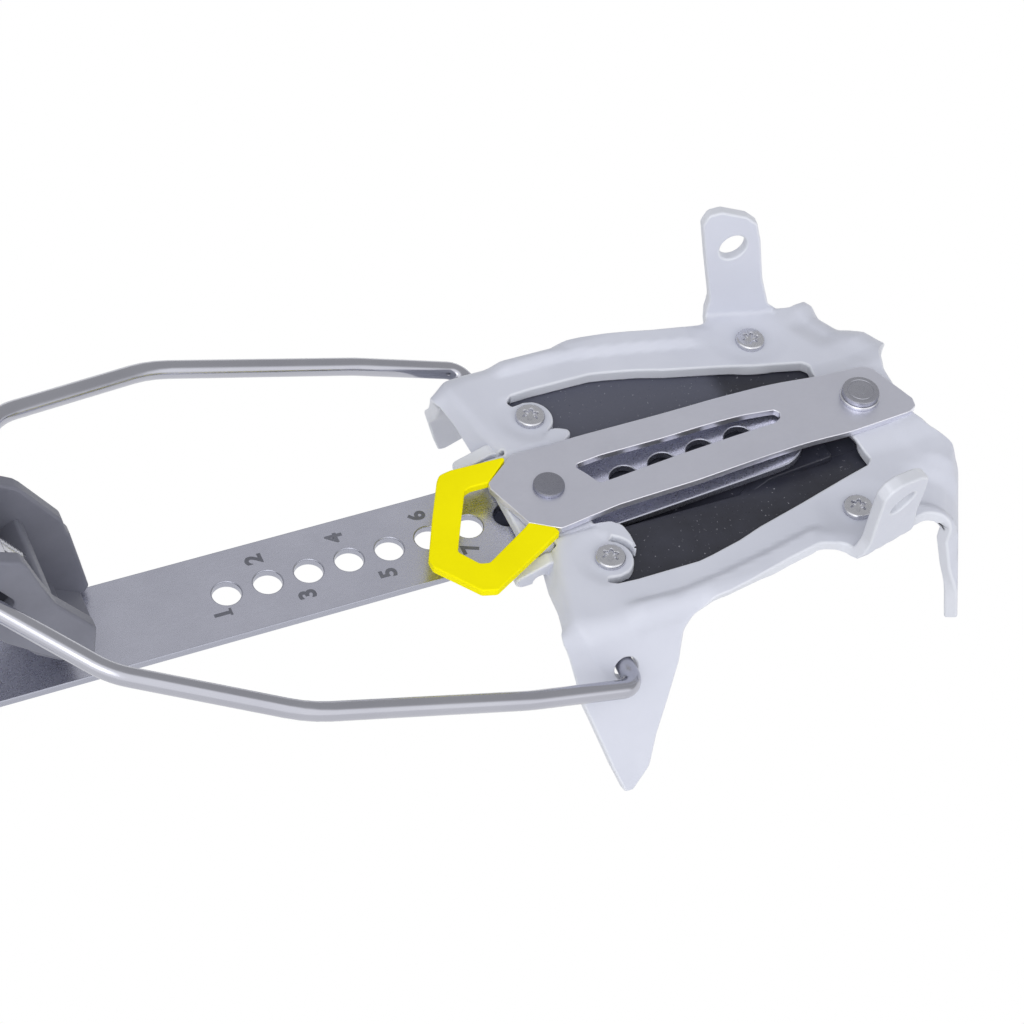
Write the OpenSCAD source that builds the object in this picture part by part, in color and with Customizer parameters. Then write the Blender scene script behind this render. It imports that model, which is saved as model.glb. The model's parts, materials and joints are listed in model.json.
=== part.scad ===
// Crampon with a sliding bar, a spring lock and a wire heel bail.
// Lengths in millimetres. X runs to the heel, Y across, Z up from the ground.

/* [Bar] */
// Width of the linking bar
bar_w = 22.4; // [20:0.2:23]
// Thickness of the linking bar
bar_t = 3; // [2.5:0.1:3.4]
// Distance between two adjusting holes
hole_pitch = 9; // [8.6:0.1:9.3]
// Diameter of an adjusting hole
hole_d = 6.1; // [5.9:0.1:7]
// Number of adjusting holes
hole_count = 14; // [9:1:14]
// Radius of the bar's upward curve
rocker_r = 480; // [470:5:700]
// Radius of the bar's rear corners
bar_corner_r = 8; // [4:0.5:10]

/* [Frames] */
// Thickness of the pressed steel
sheet_t = 3; // [2.6:0.1:3.4]
// Height of the bar's flat top above the ground
ride_h = 35; // [32:0.5:40]
// Height of the raised rim above the sheet
rim_h = 1.5; // [0.8:0.1:2]
// Height of the rear posts above the sheet
post_h = 26; // [20:0.5:30]
// Diameter of the hole in a post
post_hole_d = 5.8; // [4.5:0.1:6.5]
// Outward lean of the posts in degrees
post_lean = 10.4; // [6:0.2:14]
// Outward lean of the front heel points in degrees
point_lean = 21.8; // [18:0.2:25]

/* [Snow plates] */
// Thickness of the plastic snow plates
snow_t = 1.8; // [1.4:0.1:2.4]
// Gap between the bar and the plates round it
bar_clear = 0.35; // [0.3:0.05:0.6]

/* [Screws] */
// Shank diameter of the plate screws
screw_d = 3.5; // [3:0.1:4]
// Head diameter of the plate screws
screw_head_d = 6.3; // [5.8:0.1:7]
// Head height of the plate screws
screw_head_h = 1.9; // [1.4:0.1:2.2]
// Width across flats of the nuts
nut_af = 6; // [5.5:0.1:7]
// Thickness of the nuts
nut_t = 2.4; // [1.8:0.1:3]

/* [Spring lock] */
// Thickness of the leaf spring
spring_t = 1.7; // [1.4:0.1:1.9]
// Diameter of the locking stud's shank
stud_d = 5.2; // [4.4:0.1:5.4]
// Diameter of the locking stud's head
stud_head_d = 6.8; // [6.2:0.1:8]
// Depth of the stud in the bar
stud_depth = 1.5; // [1:0.1:1.8]
// Diameter of the rivet's head
rivet_head_d = 8.2; // [7:0.1:9]
// Diameter of the rivet's shank
rivet_d = 5; // [4:0.1:6]
// Thickness of the finger ring
grip_t = 2; // [1.6:0.1:2.2]

/* [Bails] */
// Diameter of the bail wire
wire_d = 4; // [3.6:0.1:4.4]
// Length of the heel bail from pivot to end wire
bail_len = 134.4; // [128:0.2:140]
// Half width of the heel bail at its widest
bail_half_w = 48.6; // [47:0.2:51]
// Half width of the heel bail's end wire
bail_end_half_w = 15; // [14.6:0.1:17]
// Upward tilt of the folded heel bail in degrees
bail_tilt = 18.93; // [18.6:0.01:22]
// Length of the toe bail from pivot to end wire
toe_bail_len = 43; // [40:0.5:46]

/* [Heel lever] */
// Width of the heel lever
lever_w = 25; // [23:0.5:26]
// Thickness of the heel lever's walls
lever_wall = 3.4; // [2.8:0.1:4]
// Diameter of the adjusting screw
adjuster_d = 3; // [2.5:0.1:3.4]
// Diameter of the thumbwheel
wheel_d = 11; // [9:0.5:12]

/* [Hidden] */
$fn = 48;
big = 400;
// The part's middle lies over the origin.
centre_x = -48;
// Side view of the bar: flat, then curved, then straight.
bend_start = 5;
bend_end = 55;
bar_rear = 94;
bar_front = -188;
rear_slope = (bend_end - bend_start) / rocker_r;
bend_rise = (bend_end - bend_start) * rear_slope / 2;
function bar_top(x) = x < bend_start ? 0
  : x < bend_end ? (x - bend_start) * (x - bend_start) / (2 * rocker_r)
  : bend_rise + (x - bend_end) * rear_slope;
function hole_x(i) = hole_pitch * (i - 5);
stud_hole = 9;
stud_x = hole_x(stud_hole);
// Heel frame levels.
plate_z = 1.8;
plate_top = plate_z + sheet_t;
saddle_top = plate_z + 2.3;
saddle_half_w = 12.4;
saddle_rear = 41.5;
pad_h = 1.4;
pad_half_w = 9.4;
pad_reach = 5;
rear_edge = 120.3;
pad_top = plate_top + pad_h;
seat_floor = plate_z + 1.6;
bar_side_gap = 1;
// Heel points and the folds that they hang from.
point_foot = 38.98;
pivot_x = 36.3;
pivot_z = -5.75;
side_bend = 5;
corner_a = [116.8, 36.1];
corner_b = [127.2, 17.2];
corner_out = [corner_a[1] - corner_b[1], corner_b[0] - corner_a[0]] / norm(corner_b - corner_a);
rear_lean = 10.6;
rear_bend = 8.5;
fold_back = corner_out * ((-rear_bend - (sheet_t - rear_bend) * sin(rear_lean)) / cos(rear_lean) - 0.6);
// Heel frame outline up to its folds, one half.
heel_half = [[25.6, 0], [25.8, 14], [25.2, 24], [23.6, 33.8], [50.6, 33.8], [53.4, 38.9], [60.4, 38.6], [66, 37.6],
  [76.5, 35], [85, 33.2], [106, 33.2], corner_a + fold_back, corner_b + fold_back, [rear_edge + 0.5, 7], [rear_edge, 0]];
// Heel window outline, one half.
window_half = [[41.2, 11.4], [45.4, 11.8], [46.9, 13], [47.6, 15], [47.7, 19.4], [46.9, 21.2], [45.9, 21.8],
  [44.8, 23.8], [43.2, 25], [41.2, 25.6], [38.4, 25.5], [38.1, 26.6], [39.4, 27.9], [44, 28.2], [58.3, 28.1],
  [61.5, 27.5], [68.8, 25.8], [74.5, 23.8], [85.4, 21], [99.6, 17.2], [104.8, 15.9], [106, 14.6],
  [103.7, 6.2], [103.2, 0], [41.2, 0]];
rim_half = [[53, 33.4], [60, 33], [72, 30.4], [84, 27.8], [86.4, 28.4], [86.4, 33.1], [85, 33.2], [76.5, 35],
  [66, 37.6], [60.4, 38.6], [53.4, 38.9]];
screw_spots = [[41, 21], [97, 26.1]];
seat_r = screw_head_d / 2 + 1.1;
// Heel posts.
post_foot = 37.75;
post_bend = 4;
post_hole_x = 95.8;
post_hole_z = 22.6;
// Channel floor under the bar follows its straight rear.
function floor_top(x) = bend_rise + (x - bend_end) * rear_slope - bar_t - bar_clear;
channel_w = bar_w + 2 * bar_side_gap;
// Leaf spring: its rivet, the line where it bends and its levels.
rivet_x = 110.4;
hinge_x = rivet_x - 7.4;
hinge_gap = 0.2;
blade_gap = 0.3;
hump_rise = 1;
root_top = pad_top + spring_t;
blade_front_top = saddle_top + blade_gap + spring_t;
stud_hole_d = stud_d + 2.2;
// Folded heel bail.
hub_x = pivot_x - bail_len * cos(bail_tilt);
hub_z = pivot_z + bail_len * sin(bail_tilt);
lever_wire_gap = 0.4;
// The claw's tip rests just above the bar.
claw_tip = [46.4, 1.2];
claw_gap = 0.35;
lever_angle = asin((hub_z - claw_gap) / norm(claw_tip)) + atan2(claw_tip[1], claw_tip[0]);
lever_side = lever_w / 2;
groove_half = lever_side - lever_wall;
adjuster_up = wire_d / 2 + adjuster_d / 2 + 0.9;
adjuster_bore = adjuster_d + 0.16;
height_travel = 8;
saddle_side_gap = 0.35;
// Toe half levels.
toe_top = sheet_t;
toe_screws = [[-132, 25], [-174, 22]];
toe_rivets = [-148, -176];
toe_pivot_x = -166;
toe_pivot_z = 15;
toe_ear_y = 39;
toe_tilt = 18;

module place() {
  translate([-centre_x, 0, ride_h]) children();
}
module both_sides() {
  children();
  mirror([0, 1, 0]) children();
}
// Side view shape, drawn in X and Z, spread across Y.
module across(y0, y1) {
  translate([0, y1, 0]) rotate([90, 0, 0]) linear_extrude(y1 - y0) children();
}
module above_ground() {
  intersection() {
    children();
    translate([-big, -big, -ride_h]) cube([2 * big, 2 * big, big]);
  }
}
// Round wire in one plane, with a bend of its own radius at each inner point.
module bent_wire(points, bends, r) {
  last = len(points) - 1;
  way = [for (i = [0 : last - 1]) (points[i + 1] - points[i]) / norm(points[i + 1] - points[i])];
  turn = [for (i = [0 : last]) i == 0 || i == last ? 0
    : atan2(way[i - 1][0] * way[i][1] - way[i - 1][1] * way[i][0], way[i - 1] * way[i])];
  cut = [for (i = [0 : last]) i == 0 || i == last ? 0 : bends[i - 1] * tan(abs(turn[i]) / 2)];
  lap = [for (i = [0 : last]) i == 0 || i == last ? 0 : 0.25];
  for (i = [0 : last - 1]) translate(concat(points[i] + way[i] * (cut[i] - lap[i]), 0))
    rotate([0, 90, atan2(way[i][1], way[i][0])])
      cylinder(r = r, h = norm(points[i + 1] - points[i]) - cut[i] - cut[i + 1] + lap[i] + lap[i + 1]);
  for (i = [1 : last - 1]) {
    side = sign(turn[i]);
    centre = points[i] - way[i - 1] * cut[i] + side * bends[i - 1] * [-way[i - 1][1], way[i - 1][0]];
    translate(concat(centre, 0)) rotate(atan2(way[i - 1][1], way[i - 1][0]) - 90 * side)
      mirror([0, side < 0 ? 1 : 0, 0]) rotate_extrude(angle = abs(turn[i])) translate([bends[i - 1], 0])
        circle(r = r + 0.03);
  }
}
function arc(centre, r, from, to) = [for (i = [0 : 8]) centre + r * [cos(from + (to - from) * i / 8),
  sin(from + (to - from) * i / 8)]];
// Sheet folded down along a line from a to b. The child is its outline, seen from outside.
module flange(a, b, lean, drop, bend) {
  back = (-bend - (sheet_t - bend) * sin(lean)) / cos(lean);
  middle = [back, sheet_t - bend];
  down = drop * [sin(lean), -cos(lean)];
  inside = arc(middle, bend - sheet_t, 90, lean);
  outside = arc(middle, bend, lean, 90);
  translate(concat(a, 0)) rotate(atan2(b[1] - a[1], b[0] - a[0])) intersection() {
    rotate([90, 0, 90]) linear_extrude(norm(b - a))
      polygon(concat([[back - 3, 0]], inside, [inside[8] + down, outside[0] + down], outside, [[back - 3, sheet_t]]));
    translate([0, big / 2, 0]) rotate([90, 0, 0]) linear_extrude(big) children();
  }
}
module half_plate(points, h) {
  both_sides() linear_extrude(h) polygon(points);
}

// Pan head with six lobes in its drive.
module plate_screw(length) {
  difference() {
    union() {
      cylinder(d = screw_d, h = length);
      translate([0, 0, length]) cylinder(d = screw_head_d, h = screw_head_h * 0.55);
      translate([0, 0, length + screw_head_h * 0.55])
        cylinder(d1 = screw_head_d, d2 = screw_head_d * 0.72, h = screw_head_h * 0.45);
    }
    translate([0, 0, length + screw_head_h * 0.35]) {
      cylinder(d = screw_head_d * 0.3, h = screw_head_h);
      for (i = [0 : 5]) rotate(60 * i) translate([screw_head_d * 0.17, 0, 0])
        cylinder(d = screw_head_d * 0.11, h = screw_head_h);
    }
  }
}
module hex_nut() {
  difference() {
    cylinder(d = nut_af / cos(30), h = nut_t, $fn = 6);
    translate([0, 0, -1]) cylinder(d = screw_d + 0.1, h = nut_t + 2);
  }
}

module heel_post() {
  hole_y = post_foot + (post_hole_z - plate_top) * tan(post_lean) - sheet_t / 2 / cos(post_lean);
  difference() {
    translate([0, 0, 2 * plate_z + sheet_t]) mirror([0, 0, 1]) translate([0, 0, plate_z])
      flange([88, post_foot], [106, post_foot], post_lean, post_h + 9, post_bend)
        translate([-88, sheet_t]) mirror([0, 1]) polygon([[87, -1], [107, -1], [103.8, 5], [101.9, 12],
          [101.2, post_h - 2], [100.4, post_h + 0.6], [98, post_h + 1.8], [92.6, post_h + 3.4],
          [90, post_h + 2.2], [88.6, post_h]]);
    translate([post_hole_x, hole_y, post_hole_z]) rotate([90 - post_lean, 0, 0])
      cylinder(d = post_hole_d, h = 2 * sheet_t, center = true);
  }
}
module front_point() {
  difference() {
    translate([0, 0, plate_z]) flange([22, point_foot], [54, point_foot], point_lean, ride_h + 9, side_bend)
      translate([-22, -plate_z]) polygon([[22, 6], [23.9, -2], [25, -6.1], [26.9, -11.2], [32.2, -27.4],
        [34.4, -36], [36, -36], [40.3, -29.5], [42.3, -22.8], [45.3, -15.6], [48.5, -7.4], [49.5, -0.9],
        [50.8, 1], [54, 2.4], [54, 6]]);
    translate([pivot_x, 0, pivot_z]) rotate([-90, 0, 0]) cylinder(d = wire_d + 1.2, h = big);
  }
}
module rear_point() {
  translate([0, 0, plate_z]) flange(corner_a, corner_b, rear_lean, ride_h + 9, rear_bend)
    translate([0, -plate_z]) polygon([[0, 6], [0.6, -6], [1.6, -14], [3.4, -27], [4.6, -36], [6.8, -36],
      [9.6, -26], [13, -14], [16, -6], [19, -2], [21.6, 0], [21.6, 6]]);
}
module bar_guide() {
  across(channel_w / 2 + 2.4, channel_w / 2 + 2.4 + sheet_t) difference() {
    polygon([[30, plate_z + 1.2], [30, -3.4], [24.6, -3.4], [21.4, -6.6], [21.4, -1], [24.6, plate_z + 1.2]]);
    translate([27.4, -3.4]) circle(r = 1.9);
  }
}
module heel_frame() {
  color("white") place() above_ground() {
    difference() {
      union() {
        translate([0, 0, plate_z]) half_plate(heel_half, sheet_t);
        translate([0, 0, plate_z]) half_plate(rim_half, sheet_t + rim_h);
        translate([rivet_x - pad_reach, -pad_half_w, plate_z])
          cube([rear_edge - 0.1 - rivet_x + pad_reach, 2 * pad_half_w, sheet_t + pad_h]);
        both_sides() {
          heel_post();
          bar_guide();
        }
      }
      translate([0, 0, plate_z - 1]) half_plate(window_half, sheet_t + 2);
      translate([22, -saddle_half_w, saddle_top]) cube([saddle_rear - 22, 2 * saddle_half_w, 9]);
      translate([22, -19, saddle_top]) cube([13.2, 38, 9]);
      both_sides() for (p = screw_spots) translate([p[0], p[1], plate_z]) {
        translate([0, 0, -1]) cylinder(d = screw_d + 0.4, h = 9);
        translate([0, 0, seat_floor - plate_z]) cylinder(r = seat_r, h = 9);
      }
      translate([stud_x, 0, plate_z - 1]) cylinder(d = stud_hole_d, h = 9);
      translate([rivet_x, 0, plate_z - 1]) cylinder(d = rivet_d, h = 9);
    }
    both_sides() {
      front_point();
      rear_point();
    }
  }
}

// Plastic tray: side panels under the frame and a channel for the bar.
module snow_panels(points, z) {
  translate([0, 0, z - snow_t]) difference() {
    half_plate(points, snow_t);
    translate([-big / 2, -channel_w / 2, -1]) cube([big, channel_w, snow_t + 2]);
  }
}
heel_snow_half = [[34, 0], [34, 26], [38, 33.4], [60, 33], [72, 30.4], [84, 28.6], [104, 29], [108, 26],
  [108, 0]];
module heel_snow_plate() {
  color("dimgray") place() difference() {
    union() {
      snow_panels(heel_snow_half, plate_z);
      across(-channel_w / 2 - snow_t, channel_w / 2 + snow_t)
        polygon([[34, floor_top(34)], [99, floor_top(99)], [99, floor_top(99) - snow_t],
          [34, floor_top(34) - snow_t]]);
      both_sides() across(channel_w / 2, channel_w / 2 + snow_t)
        polygon([[34, plate_z], [99, plate_z], [99, floor_top(99) - snow_t], [34, floor_top(34) - snow_t]]);
      translate([99, -channel_w / 2 - snow_t, plate_z - snow_t]) cube([9, channel_w + 2 * snow_t, snow_t]);
    }
    both_sides() for (p = screw_spots) translate([p[0], p[1], -9]) cylinder(d = screw_d + 0.3, h = 20);
    translate([rivet_x, 0, -9]) cylinder(d = rivet_d + 3.6, h = 20);
  }
}
module heel_plate_screws() {
  color("silver") place() both_sides() for (p = screw_spots)
    translate([p[0], p[1], plate_z - snow_t - nut_t - 0.6]) plate_screw(seat_floor - plate_z + snow_t + nut_t + 0.6);
}
module heel_plate_nuts() {
  color("gray") place() both_sides() for (p = screw_spots)
    translate([p[0], p[1], plate_z - snow_t - nut_t]) hex_nut();
}

// Bar, cut from its side view and its plan.
module linking_bar() {
  bend = [for (i = [0 : 10]) let (x = bend_start + (bend_end - bend_start) * i / 10) [x, bar_top(x)]];
  low = [for (i = [10 : -1 : 0]) bend[i] - [0, bar_t]];
  color("silver") place() difference() {
    intersection() {
      across(-bar_w / 2, bar_w / 2)
        polygon(concat([[bar_front, 0]], bend, [[bar_rear, bar_top(bar_rear)], [bar_rear, bar_top(bar_rear) - bar_t]],
          low, [[bar_front, -bar_t]]));
      translate([0, 0, -20]) linear_extrude(60) {
        translate([bar_front, -bar_w / 2]) square([bar_rear - bar_front - bar_corner_r, bar_w]);
        translate([bar_rear - bar_corner_r - 1, bar_corner_r - bar_w / 2])
          square([bar_corner_r + 1, bar_w - 2 * bar_corner_r]);
        for (s = [-1, 1]) translate([bar_rear - bar_corner_r, s * (bar_w / 2 - bar_corner_r)])
          circle(r = bar_corner_r);
      }
    }
    for (i = [1 : hole_count]) translate([hole_x(i), 0, -20]) cylinder(d = hole_d, h = 60);
    for (x = toe_rivets) translate([x, 0, -20]) cylinder(d = rivet_d, h = 60);
  }
}

// Leaf spring, split at the line where it bends.
module lock_spring_root() {
  color("lightgray") place() translate([0, 0, pad_top]) difference() {
    linear_extrude(spring_t) polygon([[hinge_x + hinge_gap, 8.7], [rivet_x + 4.6, 8.1], [rivet_x + 6.8, 6.6],
      [rivet_x + 11.2, -4.4], [rivet_x + 10.8, -6.4], [rivet_x + 8.6, -7.6], [hinge_x + hinge_gap, -8.7]]);
    translate([rivet_x, 0, -1]) cylinder(d = rivet_d, h = 9);
  }
}
module lock_spring_blade() {
  hump = root_top + hump_rise;
  top = [[22, blade_front_top], [40, blade_front_top], [47, blade_front_top + 0.6], [67, blade_front_top + 1.6],
    [hinge_x - 23, hump - 0.3], [hinge_x - 11, hump], [hinge_x - 5, hump - 0.3], [hinge_x - hinge_gap, root_top]];
  under = [for (i = [len(top) - 1 : -1 : 0]) top[i] - [0, spring_t]];
  color("lightgray") place() difference() {
    intersection() {
      across(-14, 14) polygon(concat(top, under));
      linear_extrude(40) polygon(blade_plan);
    }
    linear_extrude(40) polygon([[43, 3.7], [50, 4], [64, 3.4], [73, 3.4], [83, 2.9], [90.4, 1.8], [91, 1],
      [90.5, -0.6], [89.6, -1.3], [85, -1.7], [70, -1.8], [65.6, -2], [46.6, -3], [44.6, 1.4]]);
    translate([stud_x, 0, 0]) cylinder(d = stud_d, h = 40);
  }
}
blade_plan = [[24.3, 5.2], [31.6, 10.7], [33, 11.1], [46.8, 10.8], [66.6, 10], [hinge_x, 8.7], [hinge_x, -8.7],
  [66.6, -10], [48, -10], [41, -10.6], [33.4, -11.7], [32.9, -10.8], [28, -7.8], [24, 3.6]];
module lock_grip() {
  color("yellow") place() translate([0, 0, blade_front_top + 0.2 - grip_t])
    linear_extrude(grip_t) polygon([[30.8, 11], [18, 11.1], [15.6, 10.7], [14.3, 9.4], [9, -0.6], [4.4, -10.2],
      [4.4, -12], [12, -22], [14.6, -22.5], [33.3, -12.2], [33.4, -11.9], [32.8, -10.8], [28, -7.8], [26.6, -8.8],
      [16, -15.1], [14, -14.7], [10.9, -10.4], [14.8, -2.6], [18.7, 5.1], [24.3, 5.2], [31.2, 10.4]]);
}
module lock_stud() {
  tip_z = bar_top(stud_x) - stud_depth;
  cone_h = stud_depth + 0.1;
  color("gray") place() translate([stud_x, 0, 0]) {
    translate([0, 0, tip_z]) cylinder(d1 = stud_d - 2 * cone_h, d2 = stud_d, h = cone_h);
    translate([0, 0, tip_z + cone_h]) cylinder(d = stud_d, h = blade_front_top - tip_z - cone_h);
    translate([0, 0, blade_front_top]) cylinder(d = stud_head_d, h = 1);
  }
}
module lock_rivet() {
  color("silver") place() translate([rivet_x, 0, 0]) {
    translate([0, 0, plate_z - 1.2]) cylinder(d = rivet_d + 2.4, h = 1.2);
    translate([0, 0, plate_z]) cylinder(d = rivet_d, h = root_top + 0.9 - plate_z);
    translate([0, 0, root_top + 0.9]) cylinder(d = rivet_head_d, h = 1.3);
  }
}
module lock_rivet_washer() {
  color("gray") place() translate([rivet_x, 0, root_top]) difference() {
    cylinder(d = rivet_head_d + 0.6, h = 0.9);
    translate([0, 0, -1]) cylinder(d = rivet_d, h = 3);
  }
}

// Heel bail, drawn flat from its pivot line and then tilted.
module heel_bail() {
  color("silver") place() translate([pivot_x, 0, pivot_z]) rotate([0, bail_tilt, 0])
    bent_wire([[0, 37.4], [0, 47.2], [-27, bail_half_w], [-77, bail_half_w - 1], [-114.3, 34.8],
      [-bail_len, bail_end_half_w], [-bail_len, -bail_end_half_w], [-114.3, -34.8], [-77, 1 - bail_half_w],
      [-27, -bail_half_w], [0, -47.2], [0, -37.4]], [4, 60, 30, 16, 4, 4, 16, 30, 60, 4], wire_d / 2);
}
// Lever axes: X runs from the end wire to the claw, Z to the open side.
module lever_axes() {
  place() translate([hub_x, 0, hub_z]) rotate([0, lever_angle, 0]) children();
}
module heel_lever() {
  slot_r = wire_d / 2 + lever_wire_gap;
  color("dimgray") lever_axes() difference() {
    union() {
      across(groove_half, lever_side) polygon([[-34, -6.5], [30, -6.5], [40, -3.4], claw_tip, [45.4, 3.3],
        [37.7, 6.7], [29.2, 10.4], [27.9, 10.5], [24.1, 12.1], [10.2, 12.4], [8.4, 12.2], [-4, 7.4], [-30, 4],
        [-34, 0]]);
      across(-lever_side, -groove_half) polygon([[-34, -6.5], [30, -6.5], [36, -4.4], [38.6, -1.4], [38.3, 1],
        [37.5, 1.9], [31, 7.1], [18, 6.6], [11.1, 8.1], [3.9, 10], [2, 10], [-4, 6.4], [-30, 4], [-34, 0]]);
      across(-groove_half - 0.5, groove_half + 0.5) polygon([[-34, -6.5], [30, -6.5], [36, -4.6], [38.6, -2],
        [38, -0.6], [30, -3.4], [-31, -3.4], [-31, 0], [-34, 0]]);
      translate([36, -2, 0]) across(0, groove_half + 2.5) polygon([[0, -4.6], [4, -3.4], [10.4, 1.2], [9.4, 3.3], [0, -1.2]]);
      across(-groove_half - 0.5, groove_half + 0.5) polygon([[15, -4], [18, -4], [18, 6.8], [15, 6.8]]);
      across(-groove_half - 0.5, groove_half + 0.5) polygon([[-27, -4], [-24, -4], [-24, 6.4], [-27, 6.4]]);
    }
    translate([-slot_r, -big / 2, -slot_r]) cube([height_travel + 0.6 + wire_d / 2 + slot_r, big, 2 * slot_r]);
    translate([-40, 0, adjuster_up]) rotate([0, 90, 0]) cylinder(d = adjuster_bore, h = 60);
  }
}
module lever_saddle() {
  color("gray") lever_axes() difference() {
    across(saddle_side_gap - groove_half, groove_half - saddle_side_gap) polygon([[-5.6, -3], [4.6, -3], [4.6, 6], [3.6, 7.2],
      [-4.6, 7.2], [-5.6, 6]]);
    rotate([90, 0, 0]) translate([0, 0, -20]) cylinder(d = wire_d + 0.1, h = 40);
    translate([-40, 0, adjuster_up]) rotate([0, 90, 0]) cylinder(d = adjuster_bore, h = 60);
  }
}
module lever_adjuster() {
  color("silver") lever_axes() translate([-28.2, 0, adjuster_up]) rotate([0, 90, 0])
    cylinder(d = adjuster_d, h = 47.4);
}
module lever_thumbwheel() {
  color("dimgray") lever_axes() translate([-20.6, 0, adjuster_up]) rotate([0, 90, 0]) difference() {
    cylinder(d = wheel_d, h = 4);
    translate([0, 0, -1]) cylinder(d = adjuster_d, h = 6);
    for (i = [0 : 11]) rotate(30 * i) translate([wheel_d / 2 + 0.4, 0, -1]) cylinder(r = 0.9, h = 6);
  }
}

// Toe half.
toe_half = [[-118, 0], [-118, 16], [-119, 33], [-123, 39.5], [-128, 41], [-160, 41], [-172, 38.5], [-180, 35],
  [-187, 34], [-190, 30], [-190, 24.5], [-193, 22], [-193, 12], [-189, 10], [-189, 0]];
toe_window_half = [[-140, 15.4], [-140, 28], [-143, 31.6], [-150, 33], [-163, 31], [-166, 26], [-166, 15.4],
  [-164, 13.4], [-142, 13.4]];
module toe_side_points() {
  flange([-159, 46], [-121, 46], 12, ride_h + 9, side_bend) translate([159, 0])
    polygon([[-119, 5], [-122, -4], [-126, -22], [-128.6, -36], [-131, -36], [-135, -24], [-139, -13],
      [-142, -10], [-145, -13], [-148.6, -24], [-151, -36], [-153.4, -36], [-156, -22], [-158, -6], [-161, 5]]);
}
module toe_front_point() {
  translate([-192, 0, toe_top]) rotate([0, -24, 0]) translate([0, 0, -sheet_t]) linear_extrude(sheet_t)
    polygon([[2, 12.5], [2, 21.5], [-8, 21.5], [-27, 19.4], [-33, 17.6], [-34.18, 16.2], [-27, 14.4], [-8, 12.5]]);
}
module toe_second_point() {
  translate([-186.5, 0, toe_top]) rotate([0, -62, 0]) translate([0, 0, -sheet_t]) linear_extrude(sheet_t)
    polygon([[1, 25.2], [1, 33], [-8, 33], [-34, 31.2], [-46, 30.6], [-46, 28.2], [-34, 27], [-8, 25.2]]);
}
module toe_ear() {
  translate([toe_pivot_x, toe_ear_y + sheet_t / 2, 0]) rotate([90, 0, 0]) linear_extrude(sheet_t) difference() {
    union() {
      polygon([[-7.5, 0.5], [7.5, 0.5], [5.2, 8], [5.2, toe_pivot_z], [-5.2, toe_pivot_z], [-5.2, 8]]);
      translate([0, toe_pivot_z]) circle(r = 5.5);
    }
    translate([0, toe_pivot_z]) circle(d = wire_d + 0.8);
  }
}
module toe_frame() {
  color("white") place() above_ground() {
    difference() {
      half_plate(toe_half, sheet_t);
      translate([0, 0, -1]) half_plate(toe_window_half, sheet_t + 2);
      both_sides() for (p = toe_screws) translate([p[0], p[1], -1]) {
        cylinder(d = screw_d + 0.4, h = 9);
        translate([0, 0, 1 + seat_floor - plate_z]) cylinder(r = seat_r, h = 9);
      }
      for (x = toe_rivets) translate([x, 0, -1]) cylinder(d = rivet_d, h = 9);
    }
    both_sides() {
      toe_side_points();
      toe_front_point();
      toe_second_point();
      toe_ear();
    }
  }
}
toe_snow_half = [[-120, 0], [-120, 20], [-124, 36], [-160, 36], [-172, 31], [-182, 28], [-184, 0]];
module toe_snow_plate() {
  floor_z = -bar_t - bar_clear;
  color("dimgray") place() difference() {
    union() {
      snow_panels(toe_snow_half, 0);
      translate([-184, -channel_w / 2 - snow_t, floor_z - snow_t]) cube([64, channel_w + 2 * snow_t, snow_t]);
      both_sides() translate([-184, channel_w / 2, floor_z - snow_t]) cube([64, snow_t, snow_t - floor_z]);
    }
    both_sides() for (p = toe_screws) translate([p[0], p[1], -9]) cylinder(d = screw_d + 0.3, h = 20);
    for (x = toe_rivets) translate([x, 0, -20]) cylinder(d = rivet_d + 3.6, h = 40);
  }
}
module toe_plate_screws() {
  color("silver") place() both_sides() for (p = toe_screws)
    translate([p[0], p[1], -snow_t - nut_t - 0.6]) plate_screw(seat_floor - plate_z + snow_t + nut_t + 0.6);
}
module toe_plate_nuts() {
  color("gray") place() both_sides() for (p = toe_screws) translate([p[0], p[1], -snow_t - nut_t]) hex_nut();
}
module bar_rivets() {
  color("silver") place() for (x = toe_rivets) translate([x, 0, 0]) {
    translate([0, 0, -bar_t - 1.2]) cylinder(d = rivet_d + 2.4, h = 1.2);
    translate([0, 0, -bar_t]) cylinder(d = rivet_d, h = toe_top + bar_t);
    translate([0, 0, toe_top]) cylinder(d = rivet_head_d, h = 1.6);
  }
}
module toe_bail() {
  half = toe_ear_y + sheet_t / 2 + 4;
  color("silver") place() translate([toe_pivot_x, 0, toe_pivot_z]) rotate([0, -toe_tilt, 0])
    bent_wire([[0, toe_ear_y - 4], [0, half], [-22, half - 3], [-toe_bail_len, 22], [-toe_bail_len, -22],
      [-22, 3 - half], [0, -half], [0, 4 - toe_ear_y]], [4, 30, 12, 12, 30, 4], wire_d / 2);
}

heel_frame();
heel_snow_plate();
heel_plate_screws();
heel_plate_nuts();
linking_bar();
lock_spring_root();
lock_spring_blade();
lock_grip();
lock_stud();
lock_rivet();
lock_rivet_washer();
heel_bail();
heel_lever();
lever_saddle();
lever_adjuster();
lever_thumbwheel();
toe_frame();
toe_snow_plate();
toe_plate_screws();
toe_plate_nuts();
bar_rivets();
toe_bail();
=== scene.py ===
import json
import math
import bmesh
import bpy
import numpy as np
from mathutils import Matrix, Vector
from mathutils.geometry import delaunay_2d_cdt


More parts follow.
